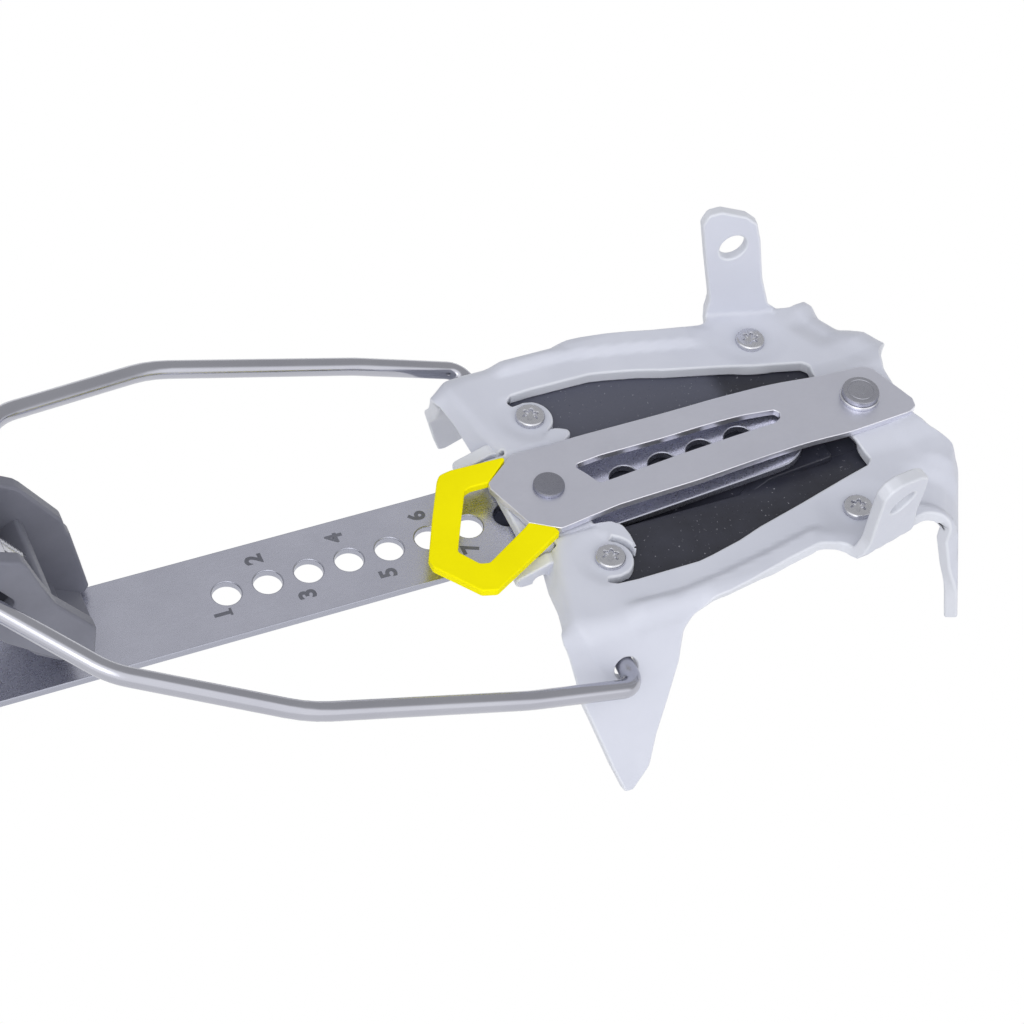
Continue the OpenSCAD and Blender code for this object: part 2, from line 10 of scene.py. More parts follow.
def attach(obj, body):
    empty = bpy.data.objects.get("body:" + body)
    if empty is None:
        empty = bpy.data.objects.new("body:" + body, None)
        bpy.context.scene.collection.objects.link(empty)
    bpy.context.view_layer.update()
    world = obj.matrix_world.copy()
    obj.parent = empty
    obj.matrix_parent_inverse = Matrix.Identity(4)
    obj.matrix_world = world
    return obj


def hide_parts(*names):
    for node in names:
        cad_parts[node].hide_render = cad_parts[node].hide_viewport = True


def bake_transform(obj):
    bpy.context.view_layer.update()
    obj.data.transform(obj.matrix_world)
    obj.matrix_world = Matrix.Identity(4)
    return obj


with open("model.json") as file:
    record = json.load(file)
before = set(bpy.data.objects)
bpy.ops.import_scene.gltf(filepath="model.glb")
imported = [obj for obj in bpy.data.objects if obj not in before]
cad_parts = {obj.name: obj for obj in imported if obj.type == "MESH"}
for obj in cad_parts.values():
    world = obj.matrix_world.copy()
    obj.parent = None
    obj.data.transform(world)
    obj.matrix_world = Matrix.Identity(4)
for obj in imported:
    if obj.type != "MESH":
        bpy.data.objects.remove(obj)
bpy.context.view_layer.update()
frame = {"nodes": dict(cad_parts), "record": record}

mm = 0.001
shift = Vector((48.0, 0.0, 35.0))
# Levels and sizes of the part, in millimetres from the bar's fifth hole
sheetThick = 3.0
plateTop = 4.8
# The solids' bar, and the thinner one that the photograph shows
barThick = 3.0
barShown = 1.9
wireR = 2.0
wireEdge = 0.6
snowThick = 1.8
channelHalf = 12.2
channelGap = 0.35
# Fasteners, as (x, y) or x on the middle line
heelScrewAt = [(41, 21), (97, 26.1)]
toeScrewAt = [(-132, 25), (-174, 22)]
barRivetAt = (-148, -176)
springRivetAt = 110.4
studAt = 36
studNeckR = 2.6
lobes = 6
# Radii of the holes in the sheets
boreR = dict(screw=1.95, plateScrew=1.9, stud=3.7, rivet=2.5, bail=2.6, post=2.9, toeBail=2.42, toeRivet=2.52)


def spot(x, y, z):
    # A point in metres from bar coordinates in millimetres
    return (Vector((x, y, z)) + shift) * mm


def link(thing):
    bpy.context.scene.collection.objects.link(thing)
    return thing


# Camera, solved from the bar's holes and the mirrored screws
view = dict(azimuth=-28.6836, elevation=48.9735, roll=7.0818, distance=625.86, right=25.673, up=7.629,
            lens=105.19, sensor=36.0, nearest=0.05, farthest=20.0)


def cameraAxes():
    a = math.radians(view["azimuth"])
    e = math.radians(view["elevation"])
    r = math.radians(view["roll"])
    back = Vector((math.sin(a) * math.cos(e), -math.cos(a) * math.cos(e), math.sin(e)))
    side = Vector((math.cos(a), math.sin(a), 0.0))
    top = back.cross(side)
    right = math.cos(r) * side + math.sin(r) * top
    up = math.cos(r) * top - math.sin(r) * side
    return right, up, back


def addCamera():
    right, up, back = cameraAxes()
    data = bpy.data.cameras.new("camera")
    data.lens = view["lens"]
    data.sensor_width = view["sensor"]
    data.clip_start = view["nearest"]
    data.clip_end = view["farthest"]
    camera = link(bpy.data.objects.new("camera", data))
    place = spot(*(view["distance"] * back + view["right"] * right + view["up"] * up))
    camera.matrix_world = Matrix.Translation(place) @ Matrix((right, up, back)).transposed().to_4x4()
    bpy.context.scene.camera = camera


addCamera()
print("camera done")


class Nodes:
    # Short calls for building the nodes of a material or of the world

    def __init__(self, owner):
        owner.use_nodes = True
        self.owner = owner
        self.tree = owner.node_tree

    def feed(self, socket, value):
        if isinstance(value, bpy.types.NodeSocket):
            self.tree.links.new(value, socket)
        else:
            socket.default_value = value

    def add(self, kind, **values):
        # Values are the node's own settings, or its inputs with _ for a space
        node = self.tree.nodes.new(kind)
        for key, value in values.items():
            if hasattr(node, key):
                setattr(node, key, value)
            else:
                self.feed(node.inputs[key.replace("_", " ")], value)
        return node

    def noise(self, scale, detail, rough=0.6, stretch=(1, 1, 1)):
        coord = self.add("ShaderNodeTexCoord")
        place = self.add("ShaderNodeMapping", Vector=coord.outputs["Object"], Scale=stretch)
        node = self.add("ShaderNodeTexNoise", Vector=place.outputs["Vector"], Scale=scale, Detail=detail,
                        Roughness=rough)
        return node.outputs["Fac"]

    def ramp(self, source, low=0.3, high=0.7, a=0, b=1, kind="LINEAR"):
        node = self.add("ShaderNodeMapRange", interpolation_type=kind, Value=source, From_Min=low,
                        From_Max=high, To_Min=a, To_Max=b)
        return node.outputs["Result"]

    def maths(self, kind, *values, node="ShaderNodeMath"):
        node = self.add(node, operation=kind)
        for socket, value in zip(node.inputs, values):
            self.feed(socket, value)
        return node.outputs["Value"]

    def mix(self, factor, a, b):
        node = self.add("ShaderNodeMix", data_type="RGBA")
        for i, value in ((0, factor), (6, a), (7, b)):
            self.feed(node.inputs[i], (*value, 1.0) if isinstance(value, tuple) else value)
        return node.outputs[2]

    def rim(self):
        # Mask for painted light: 1 on rounded edges and where a plate gets a painted sheen, 0 elsewhere
        return self.add("ShaderNodeAttribute", attribute_name="rim").outputs["Fac"]

    def shade(self, height, strength, distance, **values):
        # The surface's inputs, and a bump from the height
        bump = self.add("ShaderNodeBump", Height=height, Strength=strength, Distance=distance)
        values["Normal"] = bump.outputs["Normal"]
        for key, value in values.items():
            self.feed(self.tree.nodes["Principled BSDF"].inputs[key.replace("_", " ")], value)
        return self.owner


def coatMaterial():
    n = Nodes(bpy.data.materials.new("frameCoat"))
    tone = n.mix(n.ramp(n.noise(60, 3)), (0.59, 0.61, 0.7), (0.63, 0.65, 0.74))
    # Painted highlight: the rounded edges are painted lighter, where they catch the light
    tone = n.mix(n.rim(), tone, (0.68, 0.7, 0.77))
    fine = n.noise(1800, 3)
    return n.shade(fine, 0.25, 0.00004, Base_Color=tone, Roughness=n.ramp(fine, a=0.36, b=0.5))


def metalMaterial(name, dark, light, metallic, rough, grain, rimLight, bump):
    # Rolled or drawn steel: streaks along one way, cloudy tone and small pits
    n = Nodes(bpy.data.materials.new(name))
    streak = n.noise(1500, 4, 0.7, grain)
    pits = n.noise(2600, 2)
    both = n.maths("ADD", n.maths("MULTIPLY", streak, 0.3), n.maths("MULTIPLY", n.noise(60, 4), 0.7))
    tone = n.mix(n.ramp(both, 0.32, 0.68), dark, light)
    # The rounded edges are painted another colour: painted light and shade on the edges
    if rimLight:
        tone = n.mix(n.rim(), tone, rimLight)
    shine = n.ramp(n.maths("ADD", streak, pits), 0.8, 1.2, rough - 0.05, rough + 0.07)
    height = n.maths("ADD", streak, n.maths("MULTIPLY", pits, 0.3))
    return n.shade(height, bump, 0.00002, Base_Color=tone, Metallic=metallic, Roughness=shine)


def wireMaterial():
    # Smooth drawn wire with faint draw lines
    n = Nodes(bpy.data.materials.new("bailWire"))
    line = n.noise(400, 3, 0.6, (0.05, 1, 1))
    tone = n.mix(n.ramp(n.noise(40, 3)), (0.44, 0.445, 0.5), (0.49, 0.495, 0.55))
    return n.shade(line, 0.05, 0.00002, Base_Color=tone, Metallic=1.0, Roughness=n.ramp(line, a=0.14, b=0.24))


def plasticMaterial(name, dark, light, rough, dustAndSheen, shine):
    n = Nodes(bpy.data.materials.new(name))
    tone = n.mix(n.ramp(n.noise(90, 4)), dark, light)
    if dustAndSheen:
        # A painted sheen, a painted reflection, where the mask asks for it, and pale dust specks
        tone = n.mix(n.rim(), tone, (0.085, 0.09, 0.125))
        tone = n.mix(n.ramp(n.noise(1300, 4, 0.7), 0.655, 0.72, 0, dustAndSheen), tone, (0.5, 0.5, 0.56))
    grain = n.noise(2200, 3)
    return n.shade(grain, 0.3, 0.00005, Base_Color=tone, Specular_IOR_Level=shine,
                   Roughness=n.ramp(grain, a=rough - 0.08, b=rough + 0.08))


# Name, dark and light colour, metallic, roughness, grain, colour painted on the rounded edges as light and
# shade, and bump
metals = {
    "screw_steel": ("screwSteel", (0.56, 0.565, 0.61), (0.66, 0.665, 0.71), 0.95, 0.25,
                    (1, 1, 4), None, 0.03),
    # Painted shade: the bar's rounded edges are painted darker
    "bar_steel": ("barSteel", (0.57, 0.58, 0.68), (0.65, 0.66, 0.77), 0.92, 0.29,
                  (0.5, 1, 1), (0.4, 0.41, 0.48), 0.06),
    # Painted highlight: the spring's rounded edges are painted lighter
    "spring_steel": ("springSteel", (0.69, 0.7, 0.8), (0.75, 0.76, 0.86), 0.92, 0.34,
                     (0.5, 1, 1), (0.85, 0.85, 0.92), 0.1),
    "rivet_steel": ("rivetSteel", (0.38, 0.385, 0.44), (0.45, 0.455, 0.51), 0.95, 0.28,
                    (1, 1, 8), None, 0.04),
    "stud_steel": ("studSteel", (0.28, 0.285, 0.34), (0.34, 0.345, 0.4), 0.95, 0.3,
                   (1, 1, 4), None, 0.05),
}
# Name, dark and light colour, roughness, strength of the pale dust specks (a non-zero value also turns on the
# painted sheen) and shine
plastics = {
    "snow_plastic": ("snowPlastic", (0.02, 0.021, 0.032), (0.035, 0.037, 0.055), 0.35, 0.8, 0.5),
    # Dark marks of the numbers: painted shade of the stamped recesses
    "paintedStampShade": ("paintedStampShade", (0.11, 0.114, 0.14), (0.15, 0.155, 0.19), 0.5, 0, 0.5),
    "grip_coat": ("gripCoat", (0.9, 0.81, 0.0), (0.95, 0.86, 0.0), 0.5, 0, 0.07),
    "lever_plastic": ("leverPlastic", (0.16, 0.165, 0.205), (0.19, 0.195, 0.24), 0.45, 0, 0.35),
}
materials = {"coated_steel": coatMaterial(), "bail_wire": wireMaterial()}
materials.update({key: metalMaterial(*values) for key, values in metals.items()})
materials.update({key: plasticMaterial(*values) for key, values in plastics.items()})
for entry in frame["record"]["subparts"]:
    node = frame["nodes"][entry["node"]]
    node.data.materials.clear()
    node.data.materials.append(materials[entry["material_slot"]])
print("materials done")


# How a flat pattern is made: the least turn, radius and distance that count, the gap between rows
# and from the border as shares of the step, the length that slopes are measured over, the border
# points compared at a time and the most that a sharp corner is drawn out
meshing = dict(turn=0.03, r=0.01, gap=0.02, rowGap=0.866, clear=0.5, probe=0.02, batch=200, miterMost=1.4)


def arc(p, before, after, r, share=0.45, turnStep=0.2, least=2):
    # A corner's points on an arc, cut back by no more than a share of either side
    ways = [before - p, after - p]
    lengths = [np.linalg.norm(way) for way in ways]
    a, b = ways[0] / lengths[0], ways[1] / lengths[1]
    turn = math.pi - math.acos(max(-1.0, min(1.0, float(a @ b))))
    if turn < meshing["turn"] or r < meshing["r"]:
        return [p]
    cut = min(r * math.tan(turn / 2), share * lengths[0], share * lengths[1])
    r = cut / math.tan(turn / 2)
    centre = p + (a + b) / np.linalg.norm(a + b) * math.hypot(r, cut)
    x = p + a * cut - centre
    steps = max(least, int(turn / turnStep))
    return [centre + x * math.cos(w) - a * r * math.sin(w) for w in np.linspace(0, turn, steps + 1)]


def rounded(corners, radius=0.6):
    # Corner points, each (x, y) or (x, y, r), to a closed loop with arcs
    spots = [np.array(c[:2], float) for c in corners]
    loop = []
    for i, (p, c) in enumerate(zip(spots, corners)):
        r = c[2] if len(c) > 2 else radius
        loop += arc(p, spots[i - 1], spots[(i + 1) % len(spots)], r)
    return np.array(loop)


def circle(x, y, r, steps):
    w = np.arange(steps) * 2 * math.pi / steps
    return np.column_stack((x + r * np.cos(w), y + r * np.sin(w)))


def bow(x, y, r, start, end, steps):
    # Points on an arc, angles in degrees
    w = np.radians(np.linspace(start, end, steps))
    return [(x + r * math.cos(t), y + r * math.sin(t), 0) for t in w]


def mirrored(half):
    # Closed outline from its half with y >= 0, given from one end of the middle line to the other
    other = [(p[0], -p[1], *p[2:]) for p in reversed(half) if abs(p[1]) > 1e-6]
    return list(half) + other


def bothSides(places):
    return [(x, side * y) for x, y in places for side in (1, -1)]


def bores(places, r, steps=20):
    return [circle(x, y, r, steps) for x, y in places]


def signedArea(loop):
    x, y = loop[:, 0], loop[:, 1]
    return 0.5 * float(np.sum(x * np.roll(y, -1) - np.roll(x, -1) * y))


def split(loop, step):
    out = []
    for i in range(len(loop)):
        a, b = loop[i], loop[(i + 1) % len(loop)]
        n = max(1, int(math.ceil(np.linalg.norm(b - a) / step)))
        out.extend(a + (b - a) * k / n for k in range(n))
    out = np.array(out)
    keep = np.linalg.norm(out - np.roll(out, 1, axis=0), axis=1) > meshing["gap"]
    return out[keep]


def outward(loop):
    # Unit normals on the right-hand side, with a miter factor
    d = np.roll(loop, -1, axis=0) - loop
    d /= np.linalg.norm(d, axis=1)[:, None]
    n = np.column_stack((d[:, 1], -d[:, 0]))
    both = n + np.roll(n, 1, axis=0)
    size = np.linalg.norm(both, axis=1)[:, None]
    aim = both / np.maximum(size, 1e-6)
    return aim, np.minimum(2.0 / np.maximum(size, 1e-6), meshing["miterMost"])


def within(points, loops):
    inside = np.zeros(len(points), bool)
    for loop in loops:
        x, y = points[:, 0][:, None], points[:, 1][:, None]
        ax, ay = loop[:, 0][None], loop[:, 1][None]
        bx, by = np.roll(loop[:, 0], -1)[None], np.roll(loop[:, 1], -1)[None]
        cross = (ay > y) != (by > y)
        slope = ax + (y - ay) * (bx - ax) / np.where(by == ay, 1e-9, by - ay)
        inside ^= (np.sum(cross & (x < slope), axis=1) % 2).astype(bool)
    return inside


def makePiece(name, mesh, body, slot, nodes=(), look=None):
    # Mesh: points, faces, normals and the mask for painted light. Its material is the slot's, or the look's.
    verts, faces, normals, rim = mesh
    data = bpy.data.meshes.new(name)
    moved = (np.asarray(verts) + np.array(shift)) * mm
    data.from_pydata(moved.tolist(), [], faces)
    data.polygons.foreach_set("use_smooth", [True] * len(data.polygons))
    data.normals_split_custom_set_from_vertices(np.asarray(normals).tolist())
    if rim is not None:
        layer = data.attributes.new("rim", "FLOAT", "POINT")
        layer.data.foreach_set("value", np.asarray(rim, dtype=np.float32))
    data.materials.append(materials[look or slot])
    piece = link(bpy.data.objects.new(name, data))
    if body:
        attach(piece, body)
    if nodes:
        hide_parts(*nodes)
    return piece


def unit(v):
    return v / np.maximum(np.linalg.norm(v, axis=1), 1e-12)[:, None]


def filled(inner, step):
    # Points and triangles inside the loops, and where each loop point is among them
    low, high = inner[0].min(axis=0), inner[0].max(axis=0)
    rows = []
    for j, y in enumerate(np.arange(low[1], high[1], step * meshing["rowGap"])):
        xs = np.arange(low[0] + (j % 2) * step / 2, high[0], step)
        rows.append(np.column_stack((xs, np.full(len(xs), y))))
    grid = np.vstack(rows)
    grid = grid[within(grid, inner)]
    border = np.vstack(inner)
    near = np.full(len(grid), np.inf)
    for part in np.array_split(border, max(1, len(border) // meshing["batch"])):
        gap = np.linalg.norm(grid[:, None] - part[None], axis=2)
        near = np.minimum(near, gap.min(axis=1))
    grid = grid[near > meshing["clear"] * step]
    flat = np.vstack((border, grid))
    edges = []
    first = 0
    for loop in inner:
        edges += [(first + k, first + (k + 1) % len(loop)) for k in range(len(loop))]
        first += len(loop)
    made = delaunay_2d_cdt([Vector(p) for p in flat], edges, [], 0, 1e-5)
    spots = np.array([tuple(v) for v in made[0]])
    where = {}
    for new, olds in enumerate(made[3]):
        for old in olds:
            where[old] = new
    tris = np.array([f for f in made[2] if len(f) == 3])
    tris = tris[within(spots[tris].mean(axis=1), inner)]
    return spots, tris, where


def sheetMesh(outer, holes, top, thick, step, edge, rings=3):
    # Sheet with rounded edges over a flat pattern. top(uv) gives the upper face's points.
    loops = []
    for i, loop in enumerate([outer] + list(holes)):
        loop = split(np.asarray(loop, float), step)
        if (signedArea(loop) > 0) != (i == 0):
            loop = loop[::-1]
        loops.append(loop)
    aims = [outward(loop) for loop in loops]
    inner = [loop - u * f * edge for loop, (u, f) in zip(loops, aims)]
    spots, tris, where = filled(inner, step)
    h = meshing["probe"]

    def normalAt(uv):
        du = top(uv + (h, 0)) - top(uv - (h, 0))
        dv = top(uv + (0, h)) - top(uv - (0, h))
        return unit(np.cross(du, dv))

    base = top(spots)
    n = normalAt(spots)
    count = len(spots)
    verts = [base, base - n * thick]
    normals = [n, -n]
    rims = [np.zeros(2 * count)]
    faces = [tuple(t) for t in tris] + [tuple(t[::-1] + count) for t in tris]
    total = 2 * count
    first = 0
    for loop, (u, f) in zip(inner, aims):
        size = len(loop)
        topRow = [where[first + k] for k in range(size)]
        first += size
        chain = [topRow]
        angles = [90.0 * k / rings for k in range(1, rings + 1)]
        for lower in (False, True):
            for a in (reversed(angles) if lower else angles):
                w = math.radians(a)
                uv = loop + u * f * edge * math.sin(w)
                nn = normalAt(uv)
                out = unit(top(uv + u * h) - top(uv - u * h))
                sink = edge * (1 - math.cos(w))
                if lower:
                    sink = thick - sink
                verts.append(top(uv) - nn * sink)
                sign = -1.0 if lower else 1.0
                normals.append(unit(nn * sign * math.cos(w) + out * math.sin(w)))
                # Edge rings are marked 1 for the painted light on the rounded edges
                rims.append(np.full(size, 1.0))
                chain.append(list(range(total, total + size)))
                total += size
        chain.append([k + count for k in topRow])
        for a, b in zip(chain[:-1], chain[1:]):
            for k in range(size):
                m = (k + 1) % size
                faces.append((a[k], b[k], b[m], a[m]))
    return np.vstack(verts), faces, np.vstack(normals), np.concatenate(rims)


def slabMesh(corners, holes, place, thick, edge, step):
    # Flat slab. Corners are (a, b), and place(a, b) gives the points of its upper face.
    swapped = [(c[1], c[0], *c[2:]) for c in corners]
    cut = [np.asarray(h)[:, ::-1] for h in holes]
    return sheetMesh(rounded(swapped), cut, lambda uv: place(uv[:, 1], uv[:, 0]), thick, step, edge)


def flatFace(level):
    return lambda uv: np.column_stack((uv, np.full(len(uv), level)))


def upright(level):
    # Points (x, z) on a plane beside the bar
    return lambda x, z: np.column_stack((x, np.full(len(x), level), z))


def joinMeshes(parts):
    verts, groups, normals, rims = zip(*parts)
    faces = []
    total = 0
    for group, points in zip(groups, verts):
        faces += [tuple(i + total for i in face) for face in group]
        total += len(points)
    return np.vstack(verts), faces, np.vstack(normals), np.concatenate(rims)


def flipped(part):
    # The same mesh on the other side of the bar
    v, f, n, r = part
    return v * (1, -1, 1), [face[::-1] for face in f], n * (1, -1, 1), r


def step(x, low, high):
    # From 0 to 1 between two places, or from 1 to 0 where the second is the smaller
    t = np.clip((x - low) / (high - low), 0, 1)
    return t * t * (3 - 2 * t)


def folded(past, bend, most):
    # A roll of the sheet: its angle, and how far it moves a point along and down
    turn = np.minimum(past / bend, most)
    run = past - turn * bend
    along = bend * np.sin(turn) + run * np.cos(turn) - past
    return turn, along, bend * (1 - np.cos(turn)) + run * np.sin(turn)


# Folds of the heel frame, with the places along the bar where they start and end
front = dict(start=34.395, bend=5.0, lean=21.8, ends=(58, 49), until=70,
             wider=2.5, widerAt=(33, 25), pull=0.677, rollR=2.6, rollFrom=(13.2, 14.6),
             rollY=[0, 13.6, 20.6, 28, 33, 36, 40.4, 44.5, 49.1, 56],
             rollX=[33.6, 32.9, 31.3, 29.8, 28.6, 28.3, 29.1, 30.5, 31.9, 33.7],
             rollTurn=[75, 75, 75, 72, 62, 44, 32, 27, 20, 0],
             lips=[9.0, 9.0, 8.8, 6.8, 5.9, 5.8, 6.0, 6.2, 6.6, 6.8])
post = dict(start=33.87, middle=95.8, slant=0.25, bend=1.0, lean=10.4, span=(80, 110),
            begins=(85.5, 87.5), ends=(107.2, 104.4))
rear = dict(a=(116.8, 36.1), b=(127.2, 17.2), bend=8.5, lean=10.6, start=7.62, beyond=108)
rearWay = np.array(rear["b"]) - np.array(rear["a"])
rearWay /= np.linalg.norm(rearWay)
rearOut = np.array((-rearWay[1], rearWay[0]))


def foldRun(z, sharp, bend, level=plateTop):
    # Flat distance past a downward fold's start for a height z on its outer face
    turn = math.radians(90 - sharp)
    drop = level - z
    if drop < bend * (1 - math.cos(turn)):
        return bend * math.acos(1 - drop / bend)
    return bend * turn + (drop - bend * (1 - math.cos(turn))) / math.sin(turn)


def toothSpot(x, z, r=1.5):
    return (x, front["start"] + foldRun(z, front["lean"], front["bend"]), r)


def postStart(x):
    # The posts' fold runs outwards towards the front
    return post["start"] + post["slant"] * (post["middle"] - x)


def postSpot(x, z, r=1.0):
    turn = math.radians(90 - post["lean"])
    rise = z - plateTop - post["bend"] * (1 - math.cos(turn))
    return (x, postStart(x) + post["bend"] * turn + rise / math.sin(turn), r)


def rearSpot(along, z, r):
    run = foldRun(z, rear["lean"], rear["bend"]) - rear["start"]
    p = np.array(rear["a"]) + rearWay * along + rearOut * run
    return (p[0], p[1], r)


# Pressed shapes above the plate's flat. A pair is where a step rises or falls.
rimWall = dict(x=[33.7, 37.4, 44, 49.5, 52.7, 60, 72, 84, 90],
               y=[30, 32.9, 33.2, 33.6, 33.3, 32.4, 30.2, 27.6, 27],
               height=1.5, foot=(-0.2, 2.4), front=(37, 42), rear=(88, 83), side=(42, 36))
knob = dict(at=(87, 31.6), height=0.8, spread=5.0)
levels = [dict(height=-0.7, along=(42.5, 40.5), across=(13.2, 11.6)),
          dict(height=1.4, along=(102.2, 105.4), across=(14.6, 8.6)),
          dict(height=0.5, along=(113, 117), across=(18, 12))]
# Screw seats: the rear ones shallow basins, the front ones open to the window
basin = dict(depth=0.8, stretch=1.2, slope=(8.6, 3.6))
seat = dict(depth=0.8, open=(5.05, 5.7), closed=(4.15, 8.7), turns=((-100, -62), (130, 80)))
# A dip between two swellings where the rear folds
swellings = [dict(height=-1.9, past=((-7, 0), (15, 8)), along=((1.5, 5), (15, 10)), beyond=100),
             dict(height=1.0, past=((-4, 2), (9, 5)), along=((14, 17),), beyond=108)]
# The rear points' outer edges turn in a little: the edge's place and the strip's width down the point
tuck = dict(edgePast=[9, 15.7, 23.8, 37, 44.6], edge=[0.2, 0.6, 1.6, 3.4, 4.8],
            widthPast=[9, 14, 24, 40], width=[1.8, 3.2, 2.4, 0], slope=0.8, begins=(5, 10), ends=(37, 26))


def relief(u, s):
    line = np.interp(u, rimWall["x"], rimWall["y"])
    ends = step(u, *rimWall["front"]) * step(u, *rimWall["rear"]) * step(s, *rimWall["side"])
    h = rimWall["height"] * step(s - line, *rimWall["foot"]) * ends
    away = (u - knob["at"][0]) ** 2 + (s - knob["at"][1]) ** 2
    h = h + knob["height"] * np.exp(-away / knob["spread"])
    for level in levels:
        h = h + level["height"] * step(s, *level["across"]) * step(u, *level["along"])
    x, y = heelScrewAt[1]
    h = h - basin["depth"] * step(np.hypot((u - x) / basin["stretch"], s - y), *basin["slope"])
    x, y = heelScrewAt[0]
    angle = np.degrees(np.arctan2(s - y, u - x))
    facing = step(angle, *seat["turns"][0]) * step(angle, *seat["turns"][1])
    inner, outer = (a * facing + b * (1 - facing) for a, b in zip(seat["open"], seat["closed"]))
    return h - seat["depth"] * step(np.hypot(u - x, s - y), outer, inner)


def eased(x, places, values, reach=1.5):
    # Straight stretches with their corners smoothed
    return sum(np.interp(x + k * reach, places, values) for k in (-1, -0.5, 0, 0.5, 1)) / 5


def heelTop(uv):
    u, v = uv[:, 0], uv[:, 1]
    s = np.abs(v)
    # The front edge rolls down to a lip
    most = np.radians(eased(s, front["rollY"], front["rollTurn"])) * step(s, *front["rollFrom"])
    line = eased(s, front["rollY"], front["rollX"])
    turn, reach, sink = folded(np.maximum(line - u, 0), front["rollR"], most)
    x = u - reach
    h = relief(u, s) - sink
    # Points fold down at the front, with a wider bend at the corner
    bend = front["bend"] + front["wider"] * step(u, *front["widerAt"])
    start = front["start"] - (bend - front["bend"]) * front["pull"]
    past = np.where(u < front["until"], np.maximum(s - start, 0), 0)
    turn, reach, drop = folded(past, bend, math.radians(90 - front["lean"]) * step(u, *front["ends"]))
    y = s + reach
    z = plateTop - drop
    ny = np.sin(turn)
    nz = np.cos(turn)
    # Posts fold up
    most = math.radians(90 - post["lean"]) * step(u, *post["begins"]) * step(u, *post["ends"])
    between = (u > post["span"][0]) & (u < post["span"][1])
    turn, reach, rise = folded(np.where(between, np.maximum(s - postStart(u), 0), 0), post["bend"], most)
    y = y + reach
    z = z + rise
    ny = ny - np.sin(turn)
    nz = nz * np.cos(turn)
    # Rear points fold down along a slanted line
    alongBar, across = u - rear["a"][0], s - rear["a"][1]
    past = alongBar * rearOut[0] + across * rearOut[1] + rear["start"]
    along = alongBar * rearWay[0] + across * rearWay[1]
    for shape in swellings:
        swell = shape["height"] * (u > shape["beyond"])
        for value, pairs in ((past, shape["past"]), (along, shape["along"])):
            for pair in pairs:
                swell = swell * step(value, *pair)
        h = h + swell
    past = np.where(u > rear["beyond"], np.maximum(past, 0), 0)
    inset = along - np.interp(past, tuck["edgePast"], tuck["edge"])
    strip = np.interp(past, tuck["widthPast"], tuck["width"])
    fade = step(past, *tuck["begins"]) * step(past, *tuck["ends"])
    h = h - tuck["slope"] * np.maximum(strip - inset, 0) * fade
    turn, reach, drop = folded(past, rear["bend"], math.radians(90 - rear["lean"]))
    x = x + rearOut[0] * reach
    y = y + rearOut[1] * reach
    z = z - drop
    nx = rearOut[0] * np.sin(turn)
    ny = ny + rearOut[1] * np.sin(turn)
    nz = nz * np.cos(turn)
    side = np.where(v < 0, -1.0, 1.0)
    return np.column_stack((x + h * nx, side * (y + h * ny), z + h * nz))


def lipSpot(y, r):
    line = float(eased(y, front["rollY"], front["rollX"]))
    return (line - float(np.interp(y, front["rollY"], front["lips"])), y, r)


def heelOutline():
    half = [(25.8, 0), (25.8, 12.4, 1), (31.5, 12.6, 0.5), (31.5, 14.2, 0.5), lipSpot(14.4, 1.5)]
    half += [lipSpot(y, 4) for y in (21, 28, 35, 39, 44, 49)]
    tooth = [(26.4, -11.2, 8), (31.8, -27.4, 20), (34.3, -33.9, 0.7), (36.2, -33.9, 0.7),
             (40.3, -29.5, 4), (42.3, -22.8, 10), (45.3, -15.6, 10), (48.5, -7.4, 10), (49.8, -0.9, 4)]
    half += [toothSpot(*p) for p in tooth]
    half += [(52.2, 39.9, 3), (56, 38.9, 4), (60.4, 38.6, 5), (66, 37.6, 10), (76.5, 35, 10),
             (84, 33.5, 4), (90.0, 34.2, 2.5)]
    pole = [(91.3, 9, 6), (89.8, 20, 20), (88.8, 28.6, 1.6), (90.2, 31.2, 1.4), (93, 31.9, 2),
            (98.6, 30.3, 2), (100.9, 28.4, 1.2), (101.9, 23.8, 4), (102.9, 13.8, 20), (104.6, 6.8, 4)]
    half += [postSpot(*p) for p in pole]
    half += [(106.9, 33.2, 2.5), (110, 32.5, 3), (113.4, 33.6, 3)]
    tooth = [(0.2, 0.4, 3), (0.6, -6, 20), (1.6, -14, 20), (3.4, -27, 20), (4.8, -34.4, 0.7),
             (6.9, -34.4, 0.7), (9.6, -26, 8), (13, -14, 15), (16, -6, 10), (19, -2, 5)]
    half += [rearSpot(*p) for p in tooth]
    half += [(126, 15.8, 3), (122, 12, 4), (120.5, 7, 3), (120.3, 0)]
    return mirrored(half)


def heelWindow():
    # The tab under the near screw has a hook, and the far one hasn't
    x, y = heelScrewAt[0]
    tabR = seat["open"][0]
    near = [(41.4, 0), (41.4, 11.3, 0.8), (45.2, 11.9, 2), (47.2, 13.8, 2), (47.6, 16.6, 2),
            (47.5, 19.6, 1), (47.1, 20.9, 0.3)]
    near += bow(x, y, 5.75, -4, -62, 9) + bow(x, y, tabR, -66, 62, 20)
    far = [(41.4, 0), (41.4, 11.3, 0.8), (45.4, 12, 1.5), (47.4, 13.6, 1.5), (47.3, 14.9, 1),
           (45.5, 15.9, 1.5), (43.6, 16.5, 0.4)]
    far += bow(x, y, tabR, -56, 62, 20)
    rest = [(41.4, 25.9, 1.2), (38.7, 25.5, 0.5), (37.9, 26.6, 0.8), (39.4, 27.9, 1.2), (44, 28.2, 2),
            (58.3, 28.1, 4), (61.5, 27.5, 4), (68.8, 25.8, 8), (74.5, 23.9, 8), (85.4, 21.1, 8),
            (99.6, 17.2, 8), (104.8, 15.9, 1), (106, 14.6, 0.8), (104.3, 8.2, 2), (103.5, 5, 2), (103.2, 0)]
    return far + rest + [(p[0], -p[1], *p[2:]) for p in reversed(near + rest) if p[1] > 0]


# Tongue beside the bar with a half-round notch
ear = dict(y=17.6, thick=3.1, notch=(27.4, -1.9, 1.9))


